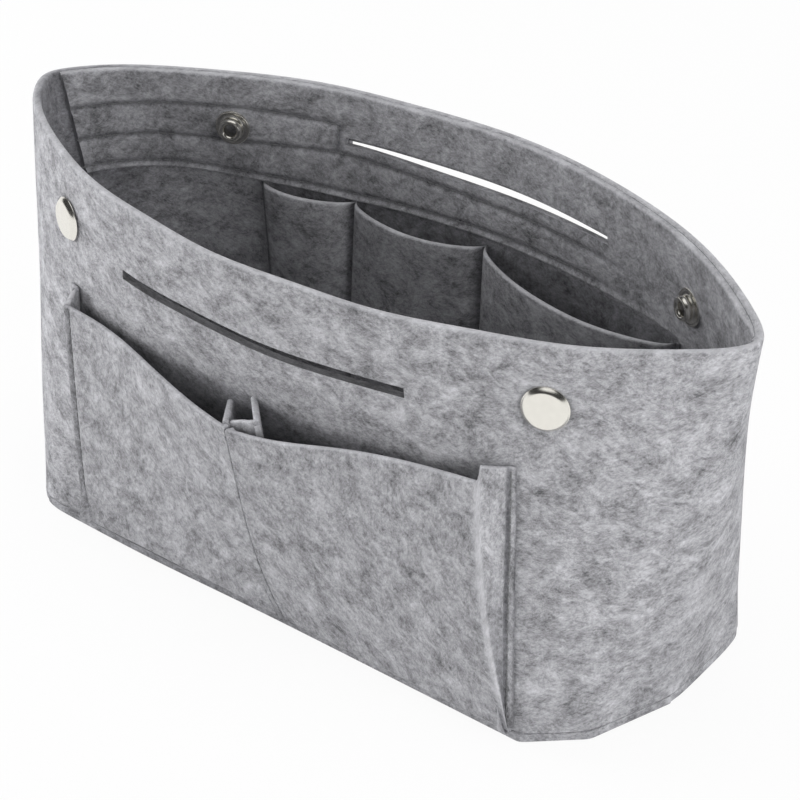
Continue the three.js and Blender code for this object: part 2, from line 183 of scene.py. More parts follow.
def makeStudio():
    size, white = studio["floorSize"], (1, 1, 1, 1)
    floorMesh = bpy.data.meshes.new("floor")
    corners = [(x * size, y * size, -studio["floorDrop"]) for x, y in ((-1, -1), (1, -1), (1, 1), (-1, 1))]
    floorMesh.from_pydata(corners, [], [(0, 1, 2, 3)])
    floor = addObject("floor", floorMesh)
    material, shader = newMaterial("floorPaper")
    direct, mirrored = watchedRays(shader)
    paper = shader.node("ShaderNodeBsdfDiffuse", None, {"Color": (*grey(studio["floor"]), 1)})
    glow = shader.node("ShaderNodeEmission", None, {"Color": white, "Strength": 1.0})
    seen = (direct + mirrored) * studio["floorGlow"]
    shader.surface(shader.node("ShaderNodeMixShader", None, {0: seen, 1: paper, 2: glow}))
    floorMesh.materials.append(material)

    world = bpy.data.worlds.new("studio")
    world.use_nodes = True
    world.node_tree.nodes.clear()
    scene.world = world
    sky = Shader(world.node_tree)
    direct, mirrored = watchedRays(sky)
    way = sky.node("ShaderNodeTexCoord")
    height = sky.node("ShaderNodeSeparateXYZ", None, {0: way}, 2)
    stops = [(place, grey(level)) for place, level in studio["room"]]
    room = sky.node("ShaderNodeValToRGB", {"stops": stops}, {"Fac": height * 0.5 + 0.5})
    even, plain, shown = (sky.node("ShaderNodeBackground", None, {"Color": colour, "Strength": strength})
                          for colour, strength in ((white, studio["around"]), (white, 1.0), (room, 1.0)))
    lit = sky.node("ShaderNodeMixShader", None, {0: mirrored, 1: even, 2: shown})
    sky.node("ShaderNodeOutputWorld", None, {
        "Surface": sky.node("ShaderNodeMixShader", None, {0: direct, 1: lit, 2: plain})})

    for name, (place, wide, tall, watts) in studio["lamps"].items():
        data = bpy.data.lights.new(name, "AREA")
        data.shape = "RECTANGLE"
        data.size = wide
        data.size_y = tall
        data.energy = watts
        lamp = addObject(name, data)
        lamp.location = place
        lamp.visible_glossy = False  # metal sees the room instead
        aim = np.array(studio["aim"]) - np.array(place)
        flat = math.hypot(aim[0], aim[1])
        lamp.rotation_euler = (math.atan2(flat, -aim[2]), 0, math.atan2(aim[1], aim[0]) - math.pi / 2)


makeStudio()
print("studio set")


# felt, thread and nickel

felt = {
    "light": 0.56,  # palest fibres, the mean of the fleece and darkest fibres, as reflectances
    "mean": 0.325,
    "dark": 0.10,
    "tint": (1.0, 1.0, 1.05),
    # patterns per metre along and across the strip, detail, roughness, distortion, slant, weights in tone
    # and in bump
    "wool": (75, 95, 5.0, 0.92, 0.2, 0.0, 1.9, 0.8),
    "wisps": (150, 330, 2.0, 0.6, 1.0, 0.5, 0.6, 0.4),
    "fibres": (520, 1250, 2.0, 0.8, 0.5, -0.4, 0.6, 0.8),
    "edge": 0.75,  # tone of a cut edge, and how much of it shows: the edge's own paler fuzz, partly a painted highlight
    "edgeLift": 0.34,
    "shade": (0.04, 0.04, 0.06, 1),  # tint of the shade on the side that lies inwards, and its strength
    "innerShade": 0.10,
    "sheen": 0.12,
    "bump": 0.35,
    "bumpDepth": 0.0008,
}


def feltTone(level):
    return tuple(level * share for share in felt["tint"])


# Heathered felt: cloudy wool of many sizes, slanting wisps and fine fibres, along the strip's own run.
# The tone is 0.5 and the weighted sum of the three patterns, each less its mean of 0.5.
def makeFelt(name, level=1.0, turned=False):
    material, shader = newMaterial(name)
    run = shader.node("ShaderNodeUVMap", {"uv_map": "run"})
    tone, height = 0.5, 0.0
    for key in ("wool", "wisps", "fibres"):
        along, across, detail, roughness, distortion, slant, inTone, inBump = felt[key]
        scale = (across, along, 1) if turned else (along, across, 1)
        lying = shader.node("ShaderNodeMapping", None, {"Vector": run, "Rotation": (0, 0, slant)})
        at = shader.node("ShaderNodeMapping", None, {"Vector": lying, "Scale": scale})
        pattern = shader.node("ShaderNodeTexNoise", {"noise_dimensions": "2D"}, {
            "Vector": at, "Scale": 1.0, "Detail": detail, "Roughness": roughness, "Distortion": distortion})
        tone = tone + (pattern - 0.5) * inTone
        height = height + pattern * inBump
    # The cut mark mixes in the paler edge tone: the edges' own fuzz, partly a painted highlight, and the
    # painted highlights of the crease strips. The inside mark multiplies towards the shade tint: painted
    # shade.
    cut, inside = (shader.node("ShaderNodeAttribute", {"attribute_name": mark}, None, 2)
                   for mark in ("cut", "inside"))
    tones = zip((0.0, 0.5, 1.0), ("dark", "mean", "light"))
    stops = [(place, feltTone(felt[key] * level)) for place, key in tones]
    ramp = shader.node("ShaderNodeValToRGB", {"stops": stops}, {"Fac": tone})
    paler = shader.node("ShaderNodeMix", {"data_type": "RGBA"},
                        {0: cut * felt["edgeLift"], 6: ramp, 7: (*feltTone(felt["edge"] * level), 1)}, 2)
    shaded = shader.node("ShaderNodeMix", {"data_type": "RGBA", "blend_type": "MULTIPLY"},
                         {0: inside * felt["innerShade"], 6: paler, 7: felt["shade"]}, 2)
    bump = shader.node("ShaderNodeBump", None,
                       {"Strength": felt["bump"], "Distance": felt["bumpDepth"], "Height": height})
    shader.surface(shader.node("ShaderNodeBsdfPrincipled", None, {
        "Base Color": shaded,
        "Roughness": 0.95,
        "Specular IOR Level": 0.15,
        "Sheen Weight": felt["sheen"],
        "Sheen Roughness": 0.6,
        "Sheen Tint": (0.9, 0.9, 0.95, 1),
        "Normal": bump,
    }))
    return material


def makeThread():
    material, shader = newMaterial("thread")
    run = shader.node("ShaderNodeUVMap", {"uv_map": "run"})
    at = shader.node("ShaderNodeMapping", None,
                     {"Vector": run, "Scale": (2600, 900, 1), "Rotation": (0, 0, 0.6)})
    twist = shader.node("ShaderNodeTexNoise", {"noise_dimensions": "2D"},
                        {"Vector": at, "Scale": 1.0, "Detail": 1.0})
    stops = [(0.3, grey(0.11, -0.02)), (0.7, grey(0.19, -0.02))]
    tone = shader.node("ShaderNodeValToRGB", {"stops": stops}, {"Fac": twist})
    bump = shader.node("ShaderNodeBump", None, {"Strength": 0.4, "Distance": 0.0002, "Height": twist})
    shader.surface(shader.node("ShaderNodeBsdfPrincipled", None, {
        "Base Color": tone, "Roughness": 0.7, "Sheen Weight": 0.15, "Normal": bump,
    }))
    return material


nickel = {
    "colour": (0.85, 0.83, 0.77, 1),
    "dull": (0.66, 0.64, 0.59, 1),
    "roughness": (0.16, 0.30),
}


# Nickel plate: fine cloudy dulling over a bright warm metal, with faint rubbed scratches.
def makeNickel():
    material, shader = newMaterial("nickelPlate")
    spot = shader.node("ShaderNodeTexCoord", None, None, 3)
    haze = shader.node("ShaderNodeTexNoise", None, {"Vector": spot, "Scale": 420.0, "Detail": 3.0})
    stretched = shader.node("ShaderNodeMapping", None,
                            {"Vector": spot, "Scale": (900, 900, 7000), "Rotation": (0.5, 0.3, 0)})
    rubs = shader.node("ShaderNodeTexNoise", None, {"Vector": stretched, "Scale": 1.0, "Detail": 2.0})
    tone = shader.node("ShaderNodeMix", {"data_type": "RGBA"},
                       {0: haze * 0.35, 6: nickel["colour"], 7: nickel["dull"]}, 2)
    low, high = nickel["roughness"]
    bump = shader.node("ShaderNodeBump", None, {"Strength": 0.06, "Distance": 0.0002, "Height": rubs})
    shader.surface(shader.node("ShaderNodeBsdfPrincipled", None, {
        "Base Color": tone, "Metallic": 1.0, "Roughness": low + haze * (high - low), "Normal": bump,
    }))
    return material


feltGrey = makeFelt("feltGrey")
feltLeaf = makeFelt("feltLeaf", 0.97, True)
feltShade = makeFelt("feltShade", 0.9)
# much darker felt on a slit's cut faces: painted shade inside the slit
feltSlitShade = makeFelt("feltSlitShade", 0.35)
threadGrey = makeThread()
nickelPlate = makeNickel()
print("materials made")


# small shapes of numbers and vectors

def between(ends, share):
    return ends[0] + (ends[1] - ends[0]) * share


def clamped(value):
    return np.clip(value, 0, 1)


def smooth(value):
    share = clamped(value)
    return share * share * (3 - 2 * share)


def bell(distance, width):
    return np.exp(-(distance / width) ** 2)


def unit(vectors):
    return vectors / np.linalg.norm(vectors, axis=-1, keepdims=True)


def inY(y):
    return np.stack([0 * y, y, 0 * y], -1)


# Level and at right angles to a run, to its left.
def levelNormal(run):
    return np.stack([-run[..., 1], run[..., 0], 0 * run[..., 0]], -1)


def levels(low, high, step):
    return np.linspace(low, high, max(2, int(round((high - low) / step)) + 1))


# Lengths along the rows of a grid of points, and along one path.
def runLength(points):
    steps = np.linalg.norm(np.diff(points, axis=0), axis=-1)
    return np.concatenate([np.zeros((1, points.shape[1])), np.cumsum(steps, 0)])


def pathLength(path):
    return runLength(path[:, None])[:, 0]


# Rounds a corner: the points a radius before and after it, and the curve (1-s)^2 P + 2 s (1-s) C + s^2 Q
# between them.
def cornerCurve(before, corner, after, radius, s):
    toBefore, toAfter = before - corner, after - corner
    longBefore, longAfter = (np.linalg.norm(way, axis=-1, keepdims=True) for way in (toBefore, toAfter))
    reach = np.minimum(radius, 0.45 * np.minimum(longBefore, longAfter))
    p, q = corner + toBefore / longBefore * reach, corner + toAfter / longAfter * reach
    return p, q, (1 - s) ** 2 * p + 2 * s * (1 - s) * corner + s ** 2 * q


# Slow unevenness of soft felt, about -1 to 1: a third of the sum of six sine waves at their own slants
# and phases.
def waves(a, b, size, seed):
    draw = np.random.default_rng(seed)
    total = 0
    ranges = ((0, np.pi), (0, 6.28), (0.7, 1.4))  # of slants, phases and paces
    for slant, phase, pace in zip(*(draw.uniform(*ends, 6) for ends in ranges)):
        total = total + np.sin((a * np.cos(slant) + b * np.sin(slant)) * pace * 2 * np.pi / size + phase)
    return total / 3


# meshes

rowStep = 1.6  # height of a row of faces on the walls and the pocket
turnPoints = 5  # points round each rounded corner of a cut edge


# Puts arrays into a mesh object. Quads and the few many-sided faces are turned outwards by the sign of
# their volume.
def makePiece(name, points, quads, quadRun, caps, capRun, marks, material, sharp=40, slitShadeFaces=0):
    corner = points[quads]
    fan = [np.stack([corner[:, 0], corner[:, i], corner[:, i + 1]], 1) for i in (1, 2)]
    for cap in caps:
        ring = points[cap]
        fan.append(np.stack([np.repeat(ring[:1], len(ring) - 2, 0), ring[1:-1], ring[2:]], 1))
    fan = np.concatenate(fan)
    volume = np.einsum("ij,ij->i", fan[:, 0], np.cross(fan[:, 1], fan[:, 2])).sum()
    if volume < 0:
        quads, quadRun = quads[:, ::-1], quadRun[:, ::-1]
        caps = [cap[::-1] for cap in caps]
        capRun = [run[::-1] for run in capRun]
    placed = (points + np.array([0, shiftY, 0])) * metres
    mesh = bpy.data.meshes.new(name)
    mesh.from_pydata(placed.tolist(), [], quads.tolist() + [list(map(int, cap)) for cap in caps])
    layer = mesh.uv_layers.new(name="run")
    flat = np.concatenate([quadRun.reshape(-1, 2)] + [np.asarray(run).reshape(-1, 2) for run in capRun])
    layer.data.foreach_set("uv", (flat * metres).astype(np.float32).ravel())
    for mark, values in marks.items():
        attribute = mesh.attributes.new(mark, "FLOAT", "POINT")
        attribute.data.foreach_set("value", values.astype(np.float32).ravel())
    mesh.shade_smooth()
    mesh.set_sharp_from_angle(angle=math.radians(sharp))
    mesh.materials.append(material)
    # the faces that join a slit's lips take the dark felt: painted shade
    if slitShadeFaces:
        mesh.materials.append(feltSlitShade)
        which = np.zeros(len(mesh.polygons), np.int32)
        which[len(quads) - slitShadeFaces:len(quads)] = 1
        mesh.polygons.foreach_set("material_index", which)
    return addObject(name, mesh)


# Attaches a piece to the body that it rides on, if it is given one, and hides the solids that it stands for.
# Its slot is not used.
def standFor(piece, slot, body, *nodes):
    if body:
        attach(piece, body)
    if nodes:
        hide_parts(*nodes)


# Takes the size that a felt piece was cut to, and does nothing with it.
def cutFelt(wide, tall):
    wide * metres
    tall * metres


# Works out where a piece would turn from one body to the other, between a line that stays with the first and
# a line that goes with the second: the way across is at right angles to both lines. It only bakes the piece's
# placement into its mesh; the piece is not set to turn.
def foldBetween(piece, stillLine, movingLine):
    (a, b), (c, d) = np.array(stillLine, float), np.array(movingLine, float)
    along = unit(b - a)
    way = np.cross(along, d - c)
    if np.linalg.norm(way) < 0.01:  # the lines are parallel
        way = c - a - along * np.dot(c - a, along)
    way = unit(way)
    start, end = ((point + np.array([0, shiftY, 0])) * metres for point in (a, a + way * np.dot(c - a, way)))
    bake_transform(piece)


# Cut edge of a felt strip: a rectangle of height by thickness with rounded corners, walked round from the
# outer face's foot over the top edge and down the inner face. Gives heights, depths, thickness and the
# count of rows, which are the faces' levels from the low rounding to the high one.
def feltSection(low, high, thick, rows, outerTop=None, innerTop=None):
    turn = np.linspace(0, np.pi / 2, turnPoints)
    rise, fall = np.sin(turn), np.cos(turn)
    under, over = rows[0] - low, high - rows[-1]
    outer, inner = outerTop or over, innerTop or over
    heights = np.concatenate([
        rows, high - outer + outer * rise[1:], high - inner + inner * fall[:-1],
        rows[::-1], low + under - under * rise[1:], low + under - under * fall[:-1],
    ])
    depths = np.concatenate([
        0 * rows, outer - outer * fall[1:], thick - inner + inner * rise[:-1],
        0 * rows + thick, thick - under + under * fall[1:], under - under * rise[:-1],
    ])
    return heights, depths, thick, len(rows)


# Moves the nearest of some levels or columns onto exact places.
def exactSteps(steps, exact):
    moved = steps.copy()
    for place in exact:
        moved[np.argmin(np.abs(moved - place))] = place
    return moved


# A felt strip: its section is carried along the columns, point = place(column, height, depth). A slit
# leaves out the faces between two columns and two rows and joins the outer and the inner edge of the
# hole. The pattern runs by the true length along each row, counted from a column whose lengths may be
# given.
def feltStrip(name, place, columns, section, material, slit=None, ridge=None, counted=None, shade=None,
              shadeSlit=True):
    heights, depths, thick, rowCount = section
    points = place(columns[:, None], heights[None, :], depths[None, :])
    wide, loop = points.shape[:2]
    index = np.arange(wide * loop).reshape(wide, loop)
    after = np.roll(index, -1, 1)
    quads = np.stack([index[:-1], index[1:], after[1:], after[:-1]], -1)
    steps = np.hypot(np.diff(heights, append=heights[:1]), np.diff(depths, append=depths[:1]))
    around = np.concatenate([[0], np.cumsum(steps)])
    along = runLength(points)
    column, lengths = counted or (wide // 2, 0)
    along = along - along[column] + lengths
    alongAfter = np.roll(along, -1, 1)
    runU = np.stack([along[:-1], along[1:], alongAfter[1:], alongAfter[:-1]], -1)
    runV = np.stack([around[:-1], around[:-1], around[1:], around[1:]], -1)[None, :, :]
    run = np.stack(np.broadcast_arrays(runU, runV), -1)
    keep = np.ones((wide - 1, loop), bool)
    extra, extraRun = [], []
    if slit:
        first, last, low, high = slit
        inner = lambda row: 2 * rowCount + 2 * (turnPoints - 1) - 1 - row
        keep[first:last, low:high] = False
        keep[first:last, inner(high):inner(low)] = False
        cols = np.arange(first, last)
        rows = np.arange(low, high)
        joined = lambda *corners: np.stack([index[corner] for corner in corners], -1)
        extra = [
            joined((cols, low), (cols + 1, low), (cols + 1, inner(low)), (cols, inner(low))),
            joined((cols + 1, high), (cols, high), (cols, inner(high)), (cols + 1, inner(high))),
            joined((first, rows + 1), (first, rows), (first, inner(rows)), (first, inner(rows + 1))),
            joined((last, rows), (last, rows + 1), (last, inner(rows + 1)), (last, inner(rows))),
        ]
        flat = np.stack([along.ravel(), np.tile(heights + 2.0 * depths, wide)], -1)
        extraRun = [flat[faces] for faces in extra]
    caps = [index[0][::-1], index[-1]]
    capRun = [np.stack([along[end] + depths, around[:-1]], -1)[::order] for end, order in ((0, -1), (-1, 1))]
    share = depths / thick
    # Cut edges get the cut mark, partly a painted highlight. Inner faces get the inside mark, which is
    # painted shade; a ridge adds a painted highlight on the outer face, and painted shade where it is below
    # 0.
    cut = clamped(6 * share * (1 - share))
    outer = np.outer(np.zeros(wide) if ridge is None else ridge, 1 - share)
    inside = clamped(share * 1.5 - 0.25)[None, :] + np.clip(-outer, 0, None)
    if shade:
        inside = inside + shade(points, share[None, :])
    return makePiece(name, points.reshape(-1, 3), np.concatenate([quads[keep]] + extra),
                     np.concatenate([run[keep]] + extraRun), caps, capRun,
                     {"cut": np.maximum(cut[None, :], outer), "inside": inside}, material,
                     slitShadeFaces=sum(len(faces) for faces in extra) if shadeSlit else 0)


# the wall band

band = {
    "rimLength": 305.0,
    "rimFront": 64.0,  # reach of the rim from its middle line, to the front and to the back
    "rimBack": 66.4,
    "rimHeight": 148.0,
    "bluntness": 0.7,
    "backRight": 0.79,  # bluntness of the back rim towards its right end
    "rimSoftness": 4.0,
    "baseDepth": 98.0,
    "baseLength": 260.0,
    # the base's quarters: lengths of its long edge and between its end corners, and the width between those
    "frontRight": (218.0, 248.0, 66.0),
    "frontLeft": (218.0, 242.0, 81.0),
    "backEnds": (240.0, 248.0, 66.0),
    "cornerSoftness": 4.2,
    "setBack": 5.0,  # how far the foot stands back and to the left, and leans over, under the rim
    "setLeft": 4.5,
    "skew": 0.1,
    "cornerShare": 0.74,  # share of the half foot round which the felt fans out from the base's corners
    "fanMiddle": 1.9,
    "fanEnd": 14.0,
    "foot": 3.05,
    "felt": 3.0,
    "footEase": 0.085,  # share of the run over which a normal is taken, at the foot and at the rim
    "rimEase": 0.03,
    "leftShade": (4.0, -124.0, 14.0),  # shade inside the closed left end, where it begins, and its fade
    "panelShare": 0.70,  # where the folding ends begin, as a share of the half band
    "columnStep": 2.0,
    "rounding": 1.05,
    "hiddenRounding": 0.15,  # of a top edge that lies against another felt
    "footRounding": 0.15,
    "footSlope": 0.45,  # how much higher its inner edge is cut, to clear the base as it leans
    "uneven": 0.45,
    "unevenSize": 70,
    "calmEnds": 8,  # how fast the unevenness comes in from the ends, and over what height from the foot
    "calmFoot": 25,
    "endColumns": (64, 1.5),  # columns of a folding end, which crowd towards its tip above 1
}
panel = band["panelShare"]
outlineSteps = 800
halvings = 36  # when a share is looked for
shareSteps = np.linspace(0, 1, outlineSteps + 1)


# Points of an outline at shares of its run.
def alongRun(outline, share):
    return np.stack([np.interp(share, shareSteps, outline[:, k]) for k in (0, 1)], -1)


# A quarter outline with its points set evenly and its corners softened: each point is the bell-weighted
# mean of its neighbours on the whole outline, which is mirrored past both ends of the quarter. Also gives
# the quarter's length.
def softQuarter(points, softness):
    run = pathLength(points)
    even = np.stack([np.interp(shareSteps * run[-1], run, points[:, k]) for k in (0, 1)], 1)
    spread = softness * outlineSteps / run[-1]
    reach = int(3 * spread)
    weights = np.exp(-0.5 * (np.arange(-reach, reach + 1) / spread) ** 2)
    weights /= weights.sum()
    whole = np.concatenate([even[1:reach + 1][::-1] * (-1, 1), even, even[-reach - 1:-1][::-1] * (1, -1)])
    return np.stack([np.convolve(whole[:, k], weights, "valid") for k in (0, 1)], 1), run[-1]


def footQuarter(quarter, softness):
    edge, corner, end = np.array(band[quarter]) / 2
    depth = band["baseDepth"] / 2
    points = np.array([(0, depth), (edge, depth), (corner, end), (band["baseLength"] / 2, 0)])
    return softQuarter(points, softness)[0]


def rimQuarter(reach, bluntness):
    bend = np.linspace(0, np.pi / 2, outlineSteps)
    points = np.stack([band["rimLength"] / 2 * np.sin(bend), reach * np.cos(bend) ** (2 * bluntness)], 1)
    return softQuarter(points, band["rimSoftness"])


frontFoot, frontFootLeft, backFoot = (footQuarter(quarter, band["cornerSoftness"])
                                      for quarter in ("frontRight", "frontLeft", "backEnds"))
frontRim, rimRun = rimQuarter(band["rimFront"], band["bluntness"])
backRim, _ = rimQuarter(band["rimBack"], band["bluntness"])
backRimRight, _ = rimQuarter(band["rimBack"], band["backRight"])


# The share of the foot's run that stands under a share of the rim's run. Felt bends one way only, so much
# of the rim's rounding runs down in a fan to the base's corners: c (1 - (1 - s)^m) + (1 - c) s^n.
def footShare(share):
    middle = 1 - (1 - share) ** band["fanMiddle"]
    return band["cornerShare"] * middle + (1 - band["cornerShare"]) * share ** band["fanEnd"]


def upWall(z):
    return (z - band["foot"]) / (band["rimHeight"] - band["foot"])


# Outer face of the band: straight lines from the foot's outline up to the rim's. Share -1 is the left end
# and 1 the right end; past an end the band goes on along the other side.
def wallFace(side, share, z):
    share, z = np.broadcast_arrays(np.asarray(share, float), np.asarray(z, float))
    past = np.abs(share) > 1
    reach = np.where(past, 2 - np.abs(share), np.abs(share))
    half = np.where(past, -side, side)
    hand = np.where(share < 0, -1.0, 1.0)
    onFront, onLeft = (half < 0)[..., None], (hand < 0)[..., None]
    below = footShare(reach)
    frontLow = np.where(onLeft, alongRun(frontFootLeft, below), alongRun(frontFoot, below))
    low = np.where(onFront, frontLow, alongRun(backFoot, below))
    backHigh = np.where(onLeft, alongRun(backRim, reach), alongRun(backRimRight, reach))
    high = np.where(onFront, alongRun(frontRim, reach), backHigh)
    lowX = hand * low[..., 0] + band["skew"] * half * low[..., 1] - band["setLeft"]
    lowY = half * low[..., 1] + band["setBack"]
    x, y = (between(ends, upWall(z)) for ends in ((lowX, hand * high[..., 0]), (lowY, half * high[..., 1])))
    return np.stack([x, y, z], -1)


# Level normal of the band, from its run over a short way on either side.
def wallNormal(side, share, z):
    ease = between((band["footEase"], band["rimEase"]), upWall(z))
    return unit(side * levelNormal(wallFace(side, share + ease, z) - wallFace(side, share - ease, z)))


# A point under the outer face, with the felt's slow unevenness, which dies away at the foot and the ends.
def wallAt(side, share, z, depth):
    share, z, depth = np.broadcast_arrays(*(np.asarray(given, float) for given in (share, z, depth)))
    calm = clamped((1 - np.abs(share)) * band["calmEnds"]) * clamped((z - band["foot"]) / band["calmFoot"])
    ripple = band["uneven"] * calm * waves(share * rimRun, z, band["unevenSize"], 11 + side)
    return wallFace(side, share, z) + wallNormal(side, share, z) * (ripple - depth)[..., None]


# The share at which the band, at a height and depth, has a given x: found by halving.
def shareAtX(side, x, z, depth):
    x, z = np.broadcast_arrays(np.asarray(x, float), np.asarray(z, float))
    low, high = np.full(x.shape, -1.0), np.full(x.shape, 1.0)
    for _ in range(halvings):
        middle = (low + high) / 2
        short = wallAt(side, middle, z, depth)[..., 0] < x
        low, high = np.where(short, middle, low), np.where(short, high, middle)
    return (low + high) / 2


def wallAtX(side, x, z, depth):
    return wallAt(side, shareAtX(side, x, z, depth), z, depth)


slits = {
    # length, height of the middle, gap at the ends, how much wider the middle gapes, how far the ends
    # bend up
    "front": (120.0, 119.3, 3.7, 0.4, 1.6),
    "back": (118.0, 127.3, 3.0, 1.5, 0.0),
    "facing": (118.0, 129.4, 3.0, 1.5, 0.0),
    "fade": 9.0,
    # where a wall lies inside a pocket and is darkened with painted shade: from x, to x, up to z, how much
    # darker
    "pocketShade": {front: (-88.0, 91.0, 97.5, 4.0), back: (-88.0, 92.0, 109.0, 4.0)},
}


# A slit's lips gape: level z moves up over the slit and down under it by half of gape * cos(pi x /
# length)^1.3, and with the bend of its ends, both less with the distance from the slit.
def slitLevel(name, x, z):
    long, level, _, gape, bend = slits[name]
    along = np.clip(x / (long / 2), -1, 1)
    away = z - level
    spread = gape / 2 * np.cos(np.pi / 2 * along) ** 1.3 * np.clip(away / 1.2, -1, 1)
    return z + (spread + bend * along ** 2) * bell(away, slits["fade"])


# The rows and columns of a wall's panel, with a slit's edges and ends among them, and where the slit lies.
def slitSteps(name, side, rows):
    long, level, gap = slits[name][:3]
    edges = (level - gap / 2, level + gap / 2)
    ends = shareAtX(side, np.array([-long / 2, long / 2]), level, 0)
    columns = levels(-panel, panel, band["columnStep"] / rimRun)
    rows, columns = exactSteps(rows, edges), exactSteps(columns, ends)
    low, high = (int(np.argmin(np.abs(rows - edge))) for edge in edges)
    first, last = (int(np.argmin(np.abs(columns - end))) for end in ends)
    return rows, columns, (first, last, low, high)


# Lengths along the rows from the middle of a strip to a share, for a pattern that goes on over a joint.
def lengthsTo(place, share, section):
    points = place(np.linspace(0, share, 160)[:, None], section[0][None, :], section[1][None, :])
    return np.sign(share) * runLength(points)[-1]


# A strip over a wall's panel, and over one of its ends, which runs from the panel's edge to the tip.
def panelStrip(name, place, columns, section, material, slit, shade, shadeSlit):
    middle = len(columns) // 2
    counted = (middle, lengthsTo(place, columns[middle] + 1e-9, section))
    return feltStrip(name, place, columns, section, material, slit, None, counted, shade, shadeSlit)


def endStrip(name, side, hand, place, shares, section, material, shade):
    shares = np.sort(hand * shares)
    counted = (0 if hand == right else len(shares) - 1, lengthsTo(place, hand * panel, section))
    end = feltStrip(name, place, shares, section, material, None, None, counted, shade)
    foldEnd(end, side, hand)
    return end


def foldEnd(piece, side, hand):
    tip, edge = ([wallFace(side, share, z) for z in (band["foot"], band["rimHeight"])]
                 for share in (hand, hand * panel))
    foldBetween(piece, tip, edge)


def makeWall(sideName, side):
    top, foot, thick, rounding = band["rimHeight"], band["foot"], band["felt"], band["rounding"]
    rows = levels(foot + band["footRounding"], top - rounding, rowStep)
    rows, columns, slit = slitSteps(sideName, side, rows)
    innerTop = rounding if side == front else band["hiddenRounding"]
    section = feltSection(foot, top, thick, rows, rounding, innerTop)

    # Painted shade inside the pockets lies on the front wall's outer face and on the back wall's inner face.
    def pocketShade(points, inner):
        fromX, toX, toZ, darker = slits["pocketShade"][side]
        lined = (points[..., 0] > fromX) * (points[..., 0] < toX) * (1 - inner if side == front else inner)
        return darker * lined * clamped((toZ - points[..., 2]) / 3)

    def cornerShade(points, inner):
        darker, fromX, fade = band["leftShade"]
        return darker * inner * clamped((fromX - points[..., 0]) / fade)

    def place(share, z, depth):
        level = slitLevel(sideName, wallFace(side, share, z)[..., 0], z)
        slope = band["footSlope"] * depth / thick * clamped(1 - (z - foot) / 2)
        return wallAt(side, share, level + slope, depth)

    wall = panelStrip(f"{sideName}_wall_felt", place, columns, section, feltGrey, slit, pocketShade, side == front)
    standFor(wall, "felt_grey", sideName, f"{sideName}_wall")
    cutFelt(2 * panel * rimRun, top - foot)
    count, crowding = band["endColumns"]
    shares = 1 - (1 - panel) * (1 - np.linspace(0, 1, count)) ** crowding
    for handName, hand in hands.items():
        name = f"{sideName}_{handName}_end"
        end = endStrip(f"{name}_felt", side, hand, place, shares, section, feltGrey, cornerShade)
        standFor(end, "felt_grey", None, name)
        cutFelt((1 - panel) * rimRun, top - foot)


for sideName, side in sides.items():
    makeWall(sideName, side)
print("walls made")


# base panel

base = {
    "thick": 3.0,
    "lip": 0.25,
    "rounding": 0.4,
    "insets": (30, 8),  # rings of faces inside its edge
    "corners": (1.0, 5.5),  # softness of its front right corner and of the others
    "bow": (1.2, -58.0, 42.0),  # how far its front edge bulges, where, and over what length
    "underPocket": (3.0, -45.0, 45.0),  # shade under the pocket, where, and over what length
}


